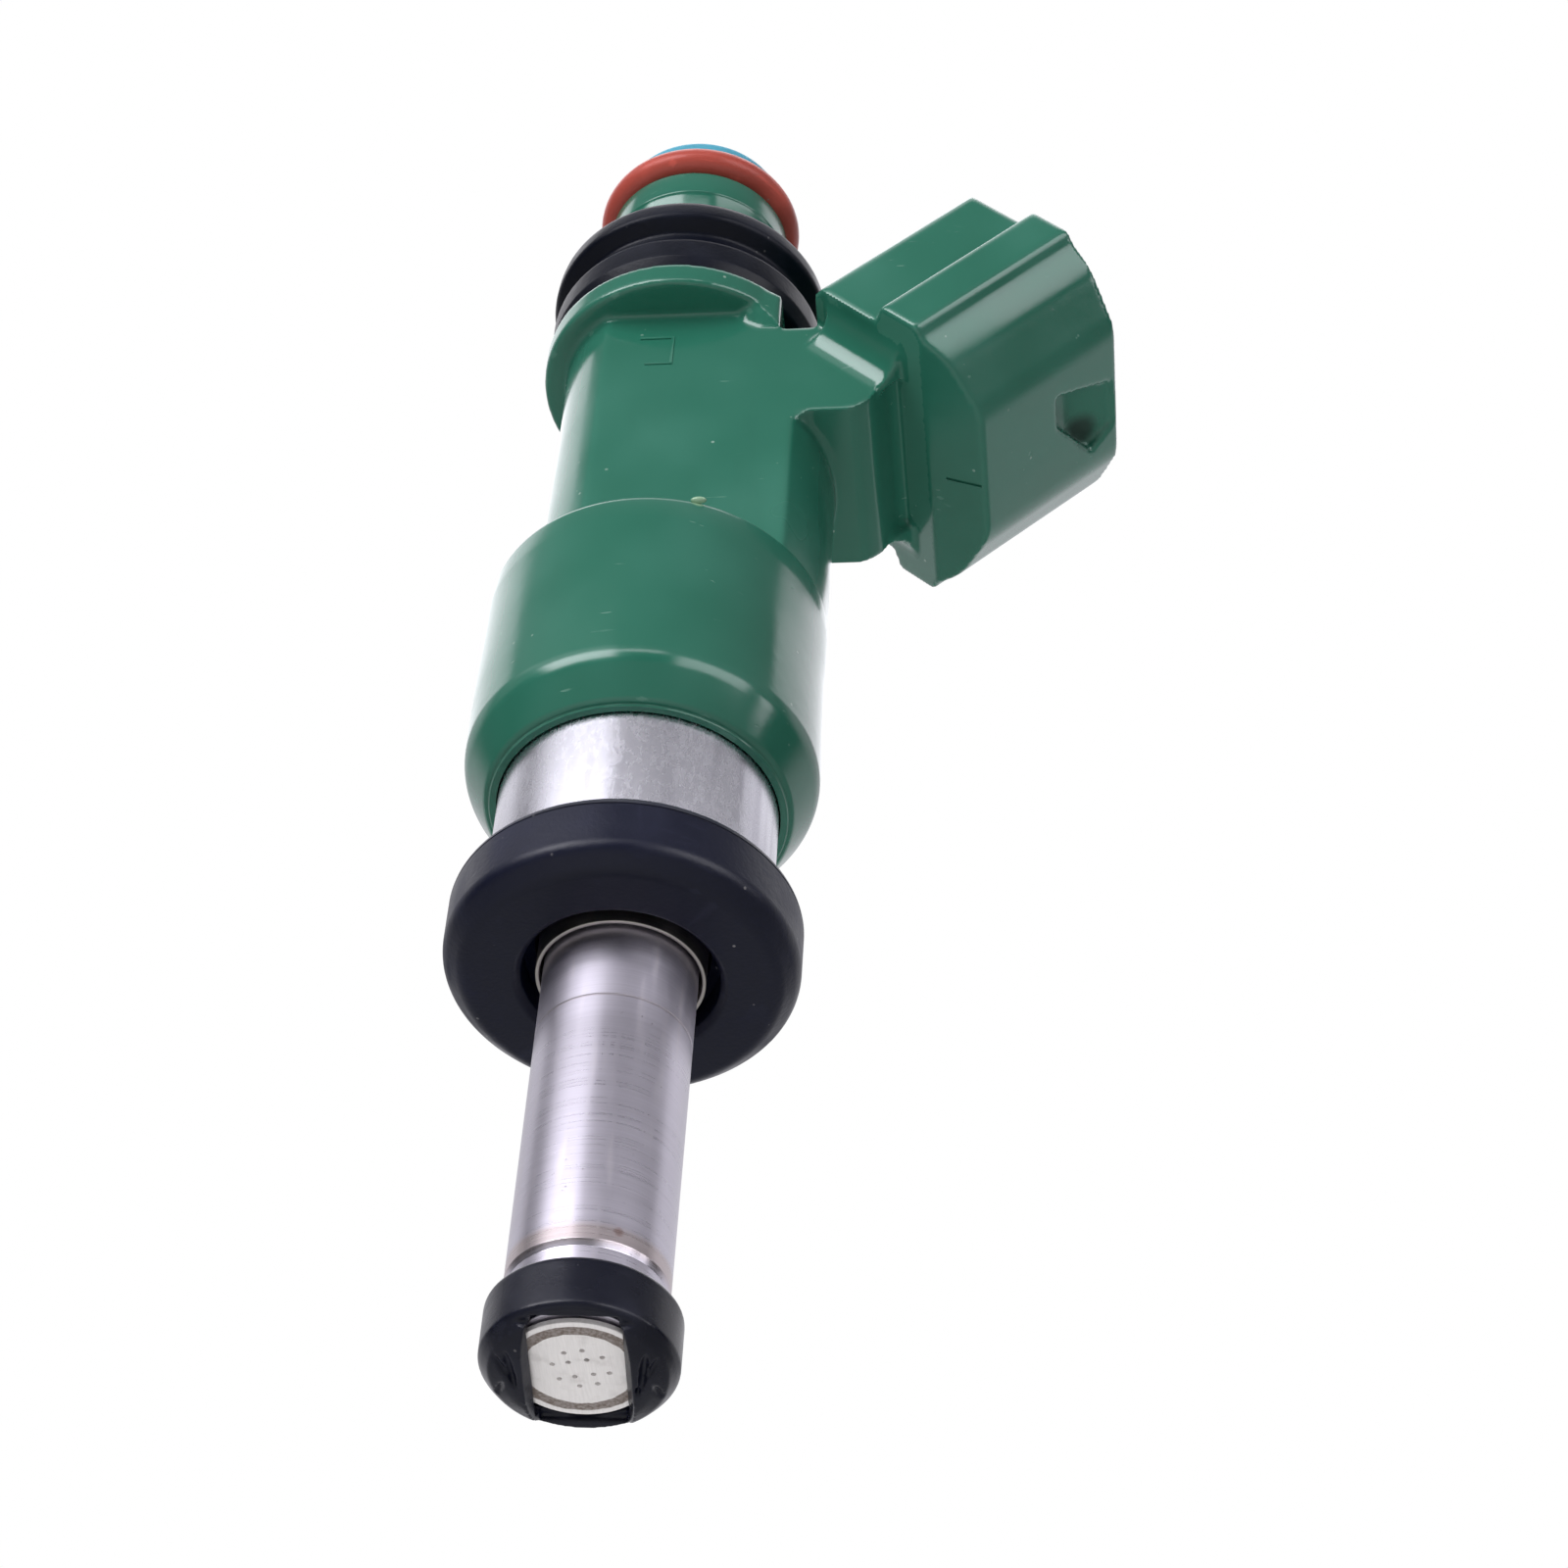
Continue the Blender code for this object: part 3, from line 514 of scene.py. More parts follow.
def steel_look(name, colour, roughness, line=0.12, seed=0.0):
    """Turned or drawn metal: fine lines round the axis, about line mm wide, over uneven grey."""
    look = Look(name, colour, roughness, 1.0)
    lines = look.noise(line, 3, stretch=(60, 60, 1), seed=seed)
    grey = look.noise(1.5, 3, seed=seed + 7)
    look.shade(look.step(lines, 0.25, 0.8, 0.88, 1.06))
    look.shade(look.step(grey, 0.3, 0.75, 0.92, 1.05))
    look.rough(look.step(grey, 0.3, 0.8, -0.04, 0.08))
    look.raise_by(look.math("MULTIPLY", lines, 0.003))
    return look.done()


def plate_look():
    """Bright plate with the weld's brown ring, a dull stain here and there and rolling lines."""
    look = Look("spray_plate_steel", (0.98, 0.945, 0.94), 0.40, 0.08)
    grain = look.noise(0.09, 3, stretch=(1, 14, 1), seed=3)
    look.shade(look.step(grain, 0.25, 0.8, 0.93, 1.03))
    stain = look.noise(1.1, 4, seed=17)
    look.tint((0.60, 0.56, 0.55), look.step(stain, 0.52, 0.72, 0.0, 0.4))
    across = look.radius()
    uneven = look.math("ADD", across, look.math("MULTIPLY", look.noise(0.5, 3, seed=4), 0.16))
    ring = look.band(uneven, 2.56, 3.04, 0.05)
    burnt = look.noise(0.16, 4, seed=23)
    look.tint((0.17, 0.13, 0.11), look.math("MULTIPLY", ring, look.step(burnt, 0.3, 0.7, 0.75, 0.98)))
    look.rough(look.math("MULTIPLY", ring, 0.2))
    look.rough(look.step(stain, 0.5, 0.75, 0.0, 0.1))
    look.raise_by(look.math("MULTIPLY", look.math("MULTIPLY", ring, burnt), 0.03))
    look.raise_by(look.math("MULTIPLY", grain, 0.004))
    return look.done()


def rubber_look(name, colour, roughness, dust=0.5, seed=0.0, bump=0.012, specular=0.3):
    """Rubber or dark plastic: pale clouds, rubbed edges, lint and wipe marks over a fine grain."""
    look = Look(name, colour, roughness, ior=1.48, specular=specular)
    cloud = look.noise(3.5, 4, seed=seed)
    pale = [c * 1.9 + 0.003 for c in colour]
    look.tint(pale, look.step(cloud, 0.48, 0.78, 0.0, 0.5))
    look.tint([c * 1.6 + 0.006 for c in colour], look.step(look.edges(), 0.53, 0.64, 0.0, 0.5))
    spots = look.cells(1.1, seed=seed + 3)
    few = look.step(look.noise(3, 1, seed=seed + 5), 0.50, 0.58)
    lint = look.math("MULTIPLY", look.step(spots, 0.085, 0.05), few)
    look.tint((0.30, 0.29, 0.30), look.math("MULTIPLY", lint, dust))
    wipes = look.noise(0.5, 3, stretch=(5, 5, 0.8), seed=seed + 12)
    look.tint([c * 2.0 + 0.005 for c in colour], look.math("MULTIPLY", look.step(wipes, 0.62, 0.74), 0.3))
    look.rough(look.step(cloud, 0.3, 0.8, -0.07, 0.12))
    look.rough(look.math("MULTIPLY", look.step(wipes, 0.55, 0.75), 0.08))
    look.raise_by(look.math("MULTIPLY", look.noise(0.22, 3, seed=seed + 2), bump))
    look.raise_by(look.math("MULTIPLY", look.noise(2.2, 2, seed=seed + 6), 0.02))
    return look.done()


def gauze_look():
    """Woven nylon, as two crossed sets of bands."""
    look = Look("nylon_gauze", (0.72, 0.75, 0.75), 0.6)
    wave = []
    for index in (0, 1):
        made = look.node("ShaderNodeTexWave", wave_type="BANDS", bands_direction="XYZ"[2 - index * 2])
        made.inputs["Scale"].default_value = 1.6
        look.link(look.place, made.inputs["Vector"])
        wave.append(made.outputs["Fac"])
    weave = look.math("MULTIPLY", wave[0], wave[1])
    look.tint((0.25, 0.28, 0.30), look.step(weave, 0.5, 0.1, 0.0, 0.8))
    look.rough(look.step(weave, 0.2, 0.6, 0.0, 0.1))
    look.raise_by(look.math("MULTIPLY", weave, 0.05))
    return look.done()


def winding_look():
    """Enamelled copper wire, one band for each turn."""
    look = Look("enamelled_wire", (0.55, 0.20, 0.08), 0.3, 0.8)
    turns = look.node("ShaderNodeTexWave", wave_type="BANDS", bands_direction="Z")
    turns.inputs["Scale"].default_value = 1.6
    look.link(look.place, turns.inputs["Vector"])
    look.shade(look.step(turns.outputs["Fac"], 0.1, 0.8, 0.45, 1.1))
    look.tint((0.35, 0.10, 0.03), look.step(look.noise(2, 3), 0.5, 0.75, 0.0, 0.5))
    look.rough(look.step(look.noise(1, 3, seed=4), 0.3, 0.8, -0.05, 0.12))
    look.raise_by(look.math("MULTIPLY", turns.outputs["Fac"], 0.08))
    return look.done()


def nylon_look(name, colour, roughness, seed=0.0, specular=0.5):
    """Plain moulded nylon with cloudy colour and pale edges."""
    look = Look(name, colour, roughness, ior=1.5, specular=specular)
    cloud = look.noise(2.2, 3, seed=seed)
    look.shade(look.step(cloud, 0.3, 0.75, 0.88, 1.08))
    look.tint([min(1, c * 1.4 + 0.05) for c in colour], look.step(look.edges(), 0.53, 0.65, 0.0, 0.4))
    look.rough(look.step(cloud, 0.3, 0.8, -0.05, 0.1))
    look.raise_by(look.math("MULTIPLY", look.noise(0.4, 3, seed=seed + 1), 0.01))
    return look.done()


# Pieces -------------------------------------------------------------------------


def wear(piece, node, look, sharp=35):
    """Puts a piece in the place of a CAD node, with its material. Edges over sharp degrees stay crisp."""
    piece.data.materials.clear()
    piece.data.materials.append(look)
    piece.data.shade_smooth()
    piece.data.set_sharp_from_angle(angle=math.radians(sharp))
    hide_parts(node)
    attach(piece, BODY)


def mirrored(half):
    """A rounded outline from its right half, which runs from the bottom up."""
    return rounded(half + [(-x, *rest) for x, *rest in reversed(half)])


def shroud_outline():
    """Section of the connector: wide shoulders below, and a rib along each side."""
    return mirrored([
        (4.4, SHROUD_LOW, 3.2), (7.6, SHROUD_LOW + 1.75, 4.2), (8.62, -3.85, 0.3), (RIB_SIDE, -3.4, 0.4),
        (RIB_SIDE, -0.7, 0.4), (SHROUD_SIDE, -0.25, 0.3), (SHROUD_SIDE, 4.1, 0.6), (7.3, SHROUD_HIGH, 0.9),
    ])


def socket_outline():
    """Section of the socket, one wall in from the connector's outside."""
    side, low, high = SHROUD_SIDE - SHROUD_WALL, SHROUD_LOW + SHROUD_WALL, SHROUD_HIGH - SHROUD_WALL
    return mirrored([
        (4.1, low), (side - 0.9, low + 2.9, 2.0), (side, low + 4.0, 1.0), (side, high - 1.2, 0.6),
        (side - 1.15, high, 0.8),
    ])


def turned_core():
    """The cover round the coil, the neck and the O-ring's groove."""
    lip = COVER_BOTTOM - 0.12
    outline = rounded([
        (0, HOUSING_TOP), (4.0, HOUSING_TOP, 0.25), (4.0, 82.75), (5.25, 82.75, 0.25), (5.25, 80.8, 0.2),
        (NECK_RADIUS, 80.6), (NECK_RADIUS, COVER_TOP), (BODY_RADIUS, COVER_TOP, 0.5),
        (COVER_RADIUS, 47.0, 6.0), (COVER_RADIUS, 36.65, 2.2), (7.75, COVER_BOTTOM, 0.5),
        (7.55, COVER_BOTTOM, 0.1), (7.5, lip, 0.05), (7.2, lip), (0, lip),
    ], closed=False, steps=8)
    return revolve("core", outline, 240)


def grommet_rim():
    """The disc that carries the grommet."""
    outline = [(0, RIM_TOP), (RIM_RADIUS, RIM_TOP, 0.25), (RIM_RADIUS, RIM_BOTTOM, 0.3), (0, RIM_BOTTOM)]
    return revolve("rim", rounded(outline, closed=False), 240)


def rim_corner(side):
    """The web that runs from the body's flat out to the rim's cut corner."""
    flat, inner, out, top = 5.45, 4.8, 6.35, 69.9
    points = [
        (3.4, flat, 68.6), (4.5, out, 68.7), (4.6, out - 0.05, 69.7), (6.4, 5.5, NOTCH_FLOOR),
        (5.0, flat, NOTCH_FLOOR), (6.4, 5.5, top), (3.4, inner, top), (3.4, inner, NOTCH_FLOOR),
        (6.4, inner, NOTCH_FLOOR), (6.4, inner, top),
    ]
    work = bmesh.new()
    for x, y, z in points:
        work.verts.new((x * MM, side * y * MM, z * MM))
    bmesh.ops.convex_hull(work, input=work.verts)
    return new_object("web", work)


def body_block():
    """The body between the cover and the rim: flat sides, and a notch in the rim towards the connector."""
    front = math.degrees(math.asin(BODY_HALF_WIDTH / BODY_RADIUS))
    rear = math.degrees(math.asin(BODY_HALF_WIDTH / REAR_RADIUS))
    section = arc((0, 0), BODY_RADIUS, -front, front, 40)
    section += arc((0, 0), REAR_RADIUS, 180 - rear, 180 + rear, 40)
    body = extrude("housing_moulding", section, BODY_HEIGHT, lift(BODY_MIDDLE))
    combine(body, [grommet_rim(), rim_corner(-1), rim_corner(1)], "UNION")
    notch = block("notch", (6.0, -10, NOTCH_FLOOR), (10, 10, 72))
    return combine(body, [notch], "DIFFERENCE")


def connector_fillet(side):
    """The hollow corner between one side of the bridge and the connector's rear face."""
    across, upward, forward = connector_axes()
    run = frame_at(connector_frame(SHROUD_START, 37.9).translation, across, forward, -upward)
    wall, reach, radius = 5.2, 7.7, 2.2
    hollow = [(side * x, y) for x, y in arc((reach, -radius), radius, 90, 180, 12)]
    corner = [(side * wall, 0.2), (side * reach, 0.2), *hollow, (side * wall, -radius)]
    return extrude("fillet", corner, 5.8, run)


def connector_parts():
    """The bridge, the connector's outside, the gusset below the bridge and the fillets."""
    bridge = rounded([
        (4.0, 67.0), (8.0, 67.0, 0.6), at_connector(54.3, 41.4), at_connector(54.3, 35.4),
        (12.1, 62.4, 0.6), (11.3, 60.5, 1.5), (10.3, 59.65, 1.0), (4.0, 59.65),
    ])
    gusset = [(6.6, 59.8), (8.1, 59.8), (6.6, 58.5)]
    length = SHROUD_END - SHROUD_START
    return [
        extrude("bridge", bridge, 11.0, side_frame()),
        extrude("shroud", shroud_outline(), length, connector_frame(SHROUD_START + length / 2)),
        extrude("gusset", gusset, 10.9, side_frame()),
        connector_fillet(-1),
        connector_fillet(1),
    ]


def latch_cutter():
    """The latch's window: a five-sided recess with a sloping floor, in the connector's lower wall."""
    across, upward, forward = connector_axes()
    floor = [(60.2, -5.85), (61.9, -5.9), (63.4, -6.35), (64.7, -6.6), (64.7, -8.0), (60.2, -8.0)]
    window = [(60.3, -2.2), (64.5, -0.9), (64.65, 2.0), (62.8, 3.0), (60.3, -0.1)]
    latch = extrude("latch", [at_connector(a, CONNECTOR_UP + u) for a, u in floor], 8, side_frame())
    below = frame_at((0, 0, 0), forward, across, -upward)
    return combine(latch, [extrude("window", window, 30, below @ lift(7.0 - CONNECTOR_UP))], "INTERSECT")


def connector_cutters():
    """The socket, the slope that takes off the lower rear edge, and the latch."""
    middle = connector_frame(SOCKET_FLOOR + SOCKET_DEPTH / 2)
    socket = extrude("socket", socket_outline(), SOCKET_DEPTH, middle)
    slope = [(-1, -8), (1.75, -8), (1.25, -6.9), (0.55, -5.2), (0.0, -3.9), (-1, -3.9)]
    placed = [at_connector(SHROUD_START + a, CONNECTOR_UP + u) for a, u in slope]
    return [socket, extrude("slope", placed, 21, side_frame()), latch_cutter()]


def corner_mark():
    """A raised mark near the flat's top corner: three sides of a square."""
    left, right, low, high = -1.7, 0.05, 64.1, 66.36
    deep, face, wide = -5.44, -5.56, 0.16
    return [
        block("mark", (left, face, high), (right + 0.1, deep, high + wide)),
        block("mark", (right, face, low + 0.1), (right + wide, deep, high + wide)),
        block("mark", (left + 0.4, face, low), (right + wide, deep, low + wide)),
    ]


def mould_line():
    """A short line left by the mould across the sloping rear face."""
    down = math.atan2(3.0, 1.25)
    place = Matrix.Translation(connector_frame(54.07, CONNECTOR_UP - 5.75).translation)
    place = place @ Matrix.Rotation(CONNECTOR_TILT - down, 4, Vector((0, -1, 0)))
    return block("mould_line", (-1.05, 0.50, -0.10), (1.05, 0.68, 0.10), place)


def terminal_outline(margin=0.0, taper=0.0):
    """Side view of a terminal: up from the coil, then bent into the connector. Its tip may taper."""
    half = TERMINAL_HALF + margin
    bend = math.tan(CONNECTOR_TILT / 2)
    joint = CONNECTOR_UP / math.cos(CONNECTOR_TILT) + TERMINAL_X
    end = TERMINAL_TIP + margin
    foot = TERMINAL_FOOT - margin
    return [
        (TERMINAL_X + half, foot), (TERMINAL_X + half, joint - half * bend),
        at_connector(end - taper * 2.5, CONNECTOR_UP - half), at_connector(end, CONNECTOR_UP - half + taper),
        at_connector(end, CONNECTOR_UP + half - taper), at_connector(end - taper * 2.5, CONNECTOR_UP + half),
        (TERMINAL_X - half, joint + half * bend), (TERMINAL_X - half, foot),
    ]


def bore_cutters():
    """The stepped bore for the inlet, the core and the coil, and the slots that hold the terminals."""
    inlet, core, coil = 3.3 + GAP, 3.78, 7.16
    bore = [
        (0, 86), (inlet, 86), (inlet, 78.88), (core, 78.88), (core, 47.68), (coil, 47.68), (coil, 33),
        (0, 33),
    ]
    slots = [
        extrude("slot", terminal_outline(GAP), TERMINAL_WIDTH + 2 * GAP, side_frame(side * TERMINAL_Y))
        for side in (-1, 1)
    ]
    return [revolve("bore", bore, 128), *slots]


def make_housing():
    """The moulding is joined and cut, its edges are softened, and the turned shapes are added last."""
    housing = body_block()
    combine(housing, connector_parts(), "UNION")
    combine(housing, connector_cutters(), "DIFFERENCE")
    soften(housing, VOXEL, 4)
    gate = ball("gate", (GATE[0], GATE[1], COVER_TOP - 0.1), (0.42, 0.2, 0.16))
    combine(housing, [turned_core(), gate, *corner_mark()], "UNION")
    combine(housing, [*bore_cutters(), mould_line()], "DIFFERENCE")
    wear(housing, "housing", green_look(), 40)


def make_terminals():
    look = steel_look("tinned_blade", (0.66, 0.65, 0.62), 0.26, 0.2, 40)
    for number, side in ((1, -1), (2, 1)):
        outline = terminal_outline(taper=0.22)
        blade = extrude(f"contact_blade_{number}", outline, TERMINAL_WIDTH, side_frame(side * TERMINAL_Y))
        edge = blade.modifiers.new("edge", "BEVEL")
        edge.width = 0.08 * MM
        edge.segments = 3
        edge.limit_method = "ANGLE"
        apply(blade)
        wear(blade, f"terminal_{number}", look)


def make_nozzle_tube():
    """The tube, with a faint groove round it and a neck above the cap."""
    _, high = box_mm("nozzle_tube")
    r, top = high.x, high.z
    neck, bore, seat = 3.6, 2.95, 3.18
    groove = [
        (r, TUBE_GROOVE + 0.07), (r - 0.03, TUBE_GROOVE + 0.03), (r - 0.03, TUBE_GROOVE - 0.03),
        (r, TUBE_GROOVE - 0.07),
    ]
    outline = rounded([
        (r, top), *groove, (r, 4.32, 0.08), (neck, 4.0, 0.1), (neck, 0.35, 0.1), (seat, 0.35), (seat, 3.78),
        (bore, 3.78), (bore, top),
    ], steps=4)
    wear(revolve("nozzle_tube_turned", outline), "nozzle_tube", tube_look())


def spray_drill(radius, angle):
    """A cutter for one spray hole, which leans outward as it leaves the plate."""
    a = math.radians(angle)
    outward = Vector((math.cos(a), math.sin(a), 0))
    place = Matrix.Translation((0.1 + radius * math.cos(a), -0.06 + radius * math.sin(a), 0.1))
    tilt = Matrix.Rotation(SPRAY_TILT, 4, Vector((0, 0, 1)).cross(-outward))
    hole = [(SPRAY_HOLE * math.cos(t), SPRAY_HOLE * math.sin(t)) for t in np.linspace(0, math.tau, 15)[:-1]]
    return extrude("drill", hole, 1.2, place @ tilt)


def make_spray_plate():
    """The plate has a shallow groove where it is welded on."""
    outline = rounded([
        (0, 0.25), (3.3, 0.25), (3.3, 0.0, 0.06), (3.02, 0.0), (2.93, 0.035), (2.80, 0.05), (2.62, 0.035),
        (2.52, 0.0), (0, 0.0),
    ], closed=False, steps=3)
    disc = revolve("spray_plate", outline, 128)
    drills = [spray_drill(radius, angle) for radius, angles in SPRAY_RINGS for angle in angles]
    combine(disc, drills, "DIFFERENCE")
    wear(disc, "orifice_plate", plate_look(), 25)


def cap_flutes():
    """Hollows on the two lobes: x, y, half-length, half-width, half-depth and turn in degrees."""
    flutes = (
        (2.95, -0.9, 1.45, 0.22, 0.40, 8),
        (3.45, -1.2, 1.15, 0.20, 0.42, 24),
        (3.6, 1.0, 1.0, 0.20, 0.40, -20),
    )
    cutters = []
    for side in (-1, 1):
        for x, y, along, across, deep, turn in flutes:
            turned = Matrix.Rotation(math.radians(side * turn), 4, "Z")
            place = Matrix.Translation((side * x, y, -0.80)) @ turned
            cutters.append(ball("flute", (0, 0, 0), (across, along, deep), place))
    cutters.append(ball("dimple", (-2.2, 0.6, -0.95), (0.16, 0.34, 0.5)))
    cutters.append(ball("dimple", (2.6, 0.5, -0.95), (0.14, 0.36, 0.5)))
    return cutters


def make_cap():
    """The tip cap: a ring with a domed end, slotted so that two lobes stand beside the spray plate."""
    low, high = box_mm("nozzle_cap")
    r, top, dome = high.x, high.z, 0.02 + low.z
    outline = rounded([
        (r - 0.25, top, 0.05), (r, top - 0.2, 0.2), (r, 0.25, 0.15), (4.30, 0.0, 0.15), (3.95, -0.42, 0.4),
        (3.1, -0.75, 2.0), (1.2, dome, 2.0), (0, dome),
    ], closed=False, steps=5)
    outline += [(0, -0.19), (3.75, -0.19), (3.75, 1.2), (3.68, 1.4), (3.68, top)]
    cap = revolve("tip_cap", outline, 128)
    half, draft = 1.95, 0.75
    flare = [(-half, 0), (half, 0), (half + draft, -1.3), (-half - draft, -1.3)]
    cutters = [
        block("slot", (-half, -3.72, -3), (half, 3.78, 0.3)),
        extrude("slot_low", flare, 12, side_frame()),
        block("ledge", (-2.9, -6, -3), (2.6, -3.3, -0.02)),
        *cap_flutes(),
    ]
    combine(cap, cutters, "DIFFERENCE")
    soften(cap, 0.075, 3)
    cap.data.transform(Matrix.Rotation(CAP_TURN, 4, "Z"))
    look = rubber_look("tip_cap_plastic", (0.0040, 0.0048, 0.0125), 0.30, 0.3, 50, 0.006)
    wear(cap, "nozzle_cap", look, 60)


def make_shell():
    low, high = box_mm("magnet_shell")
    r, base, wall, floor = high.x, low.z, 0.85, low.z + 1.4
    outline = rounded([
        (r, high.z), (r, base + 0.02, 0.35), (3.83, base), (3.83, floor), (r - wall, floor),
        (r - wall, high.z),
    ], steps=5)
    wear(revolve("shell_turned", outline), "magnet_shell", shell_look())


def make_cushion():
    """The lower ring, with a fine step round its side and a deep hole below round the collar."""
    low, high = box_mm("lower_cushion")
    r, top, base = high.x, high.z, low.z
    outline = rounded([
        (6.48, top - 0.5), (6.48, top, 0.1), (r - 0.75, top, 0.5), (r - 0.05, top - 0.75, 0.5),
        (r, top - 1.0), (r - 0.05, top - 1.04), (r, top - 1.1), (r, base + 0.9, 1.0), (r - 1.0, base, 1.0),
        (5.15, base + 0.02, 0.3), (4.8, base + 0.4, 0.3), (4.75, base + 1.7, 0.3), (4.3, base + 2.2),
        (4.3, top - 0.5),
    ], steps=7)
    look = rubber_look("cushion_rubber_moulded", (0.0028, 0.0040, 0.0155), 0.40, 0.6, 60)
    wear(revolve("lower_ring", outline, 200), "lower_cushion", look)


def make_collar():
    low, high = box_mm("cushion_collar")
    outer, inner, flange = 4.13, 3.9, 27.1
    outline = rounded([
        (high.x, high.z), (high.x, flange), (outer, flange), (outer, low.z, 0.06), (3.93, low.z, 0.06),
        (inner, low.z + 0.4), (inner, high.z),
    ], steps=3)
    look = steel_look("collar_steel", (0.56, 0.53, 0.50), 0.36, 0.1, 3)
    wear(revolve("ring_collar", outline), "cushion_collar", look)


def make_grommet():
    """The upper ring, with a groove between its two ribs."""
    low, high = box_mm("upper_grommet")
    r, top, base = high.x, high.z, low.z
    outline = rounded([
        (6.0, top, 0.2), (r - 0.1, top, 0.9), (r, top - 1.7, 0.5), (7.0, top - 2.35, 0.4),
        (7.0, top - 3.0, 0.4), (r - 0.15, top - 3.9, 0.5), (r - 0.2, base + 0.9, 0.5),
        (r - 0.6, base, 0.3), (5.18, base), (5.18, top - 0.8),
    ], steps=6)
    colour = (0.0014, 0.0024, 0.0070)
    look = rubber_look("grommet_rubber_moulded", colour, 0.38, 0.2, 70, specular=0.16)
    wear(revolve("top_grommet", outline), "upper_grommet", look)


def make_o_ring():
    low, high = box_mm("upper_o_ring")
    radius = (high.z - low.z) / 2
    middle = (high.x - radius, (low.z + high.z) / 2)
    ring = revolve("rail_o_ring", arc(middle, radius, 0, 360, 40)[:-1], 200)
    look = rubber_look("o_ring_rubber", (0.42, 0.070, 0.052), 0.36, 0.3, 80)
    wear(ring, "upper_o_ring", look)


def sleeve(name, low, high, wall):
    """A plain tube that fills a box, wall thick."""
    inner = high.x - wall
    return revolve(name, [(high.x, high.z), (high.x, low.z), (inner, low.z), (inner, high.z)], 96)


def make_inlet():
    """The filter's rim and foot, its gauze, and the steel tube round it."""
    low, high = box_mm("filter_frame")
    r, top, tube, bore = high.x, high.z, 3.3, 3.0
    outline = rounded([
        (tube, top, 0.15), (r, top, 0.6), (r, 85.0, 0.1), (tube, 85.0), (tube, low.z), (bore, low.z),
        (bore, top - 0.3, 0.1),
    ], steps=5)
    cyan = nylon_look("cyan_nylon", (0.08, 0.36, 0.50), 0.5, 90, 0.2)
    wear(revolve("inlet_rim", outline), "filter_frame", cyan)

    low, high = box_mm("inlet_tube")
    steel = steel_look("inlet_steel", (0.52, 0.50, 0.53), 0.3, 0.12, 5)
    wear(sleeve("inlet_sleeve", low, high, high.x - bore), "inlet_tube", steel)

    low, high = box_mm("filter_gauze")
    wear(sleeve("gauze_sleeve", low, high, 0.15), "filter_gauze", gauze_look())

    low, high = box_mm("filter_foot")
    r, top, base = high.x, high.z, low.z
    outline = [(0, top), (r, top), (r, base + 0.6, 0.2), (r - 1.0, base, 0.3), (0, base)]
    foot = revolve("filter_end", rounded(outline, closed=False), 96)
    wear(foot, "filter_foot", cyan)


def dress_inner_pieces():
    """The pieces out of sight keep their CAD shapes and get their own materials."""
    iron = steel_look("magnetic_steel", (0.42, 0.41, 0.42), 0.38, 0.2, 9)
    hard = steel_look("ground_steel", (0.72, 0.71, 0.71), 0.2, 0.1, 12)
    looks = {
        "valve_seat": hard,
        "valve_ball": hard,
        "needle_tube": steel_look("needle_steel", (0.55, 0.53, 0.56), 0.3, 0.1, 2),
        "armature": iron,
        "lower_pole": iron,
        "upper_pole_washer": iron,
        "fixed_core": iron,
        "nonmagnetic_ring": steel_look("ring_steel", (0.60, 0.58, 0.58), 0.3, 0.15, 6),
        "return_spring": steel_look("spring_wire", (0.50, 0.50, 0.52), 0.28, 0.1, 4),
        "adjusting_sleeve": steel_look("drawn_brass", (0.72, 0.52, 0.22), 0.28, 0.2, 8),
        "coil_bobbin": nylon_look("natural_nylon", (0.55, 0.50, 0.42), 0.5, 30),
        "coil_winding": winding_look(),
    }
    for node, look in looks.items():
        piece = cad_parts[node]
        piece.data.materials.clear()
        piece.data.materials.append(look)


# Studio -------------------------------------------------------------------------

# The camera stands below the nozzle and looks up along the injector (metres)
CAMERA_LENS = 85.461
CAMERA_PLACE = (0.0243, -0.12984, -0.09804)
CAMERA_RIGHT = (0.9955, 0.0817, 0.0473)
CAMERA_UP = (0.0258, -0.7174, 0.6962)
CAMERA_BACK = (0.0908, -0.6919, -0.7163)

# What shiny surfaces mirror: limits of each panel in x, y and z, its soft edge and its strength
ANY = (-1, 1)
SEEN_BASE = 0.09
SEEN_TINT = (0.965, 0.955, 1.0)
SEEN_PANELS = (
    ((ANY, (0.05, 1), (0.70, 1)), 0.04, 1.8),
    ((ANY, (0.12, 1), (0.30, 0.70)), 0.14, 0.85),
    ((ANY, (0.38, 1), (-0.30, 0.30)), 0.15, 0.95),
    ((ANY, (-1, 0.0), (0.30, 0.69)), 0.06, 0.36),
    ((ANY, (-1, 0.0), (0.69, 1)), 0.06, 0.16),
    ((ANY, (-1, 0.2), (0.90, 1)), 0.04, 1.5),
    (((-0.75, -0.20), (-1, -0.1), (0.12, 0.47)), 0.03, 9.0),
    (((-0.75, -0.20), (-1, -0.1), (0.47, 0.69)), 0.04, 0.9),
    (((-0.20, 0.25), (-1, -0.1), (0.34, 0.45)), 0.04, 4.5),
    (((0.38, 0.90), (-1, -0.38), (-0.12, 0.36)), 0.02, 4.6),
    (((0.90, 1), (-0.27, -0.13), (-0.26, 0.22)), 0.03, 4.6),
)
# What lights matt surfaces
SOFT_BASE = 0.09
SOFT_PANELS = (
    ((ANY, (-1, 0.2), (0.1, 1)), 0.4, 0.30),
    (((-1, -0.4), ANY, (-0.3, 1)), 0.4, 0.16),
)
NEUTRAL = (1.0, 1.0, 1.0)
BACKDROP = (1.0, 1.0, 1.0, 1.0)

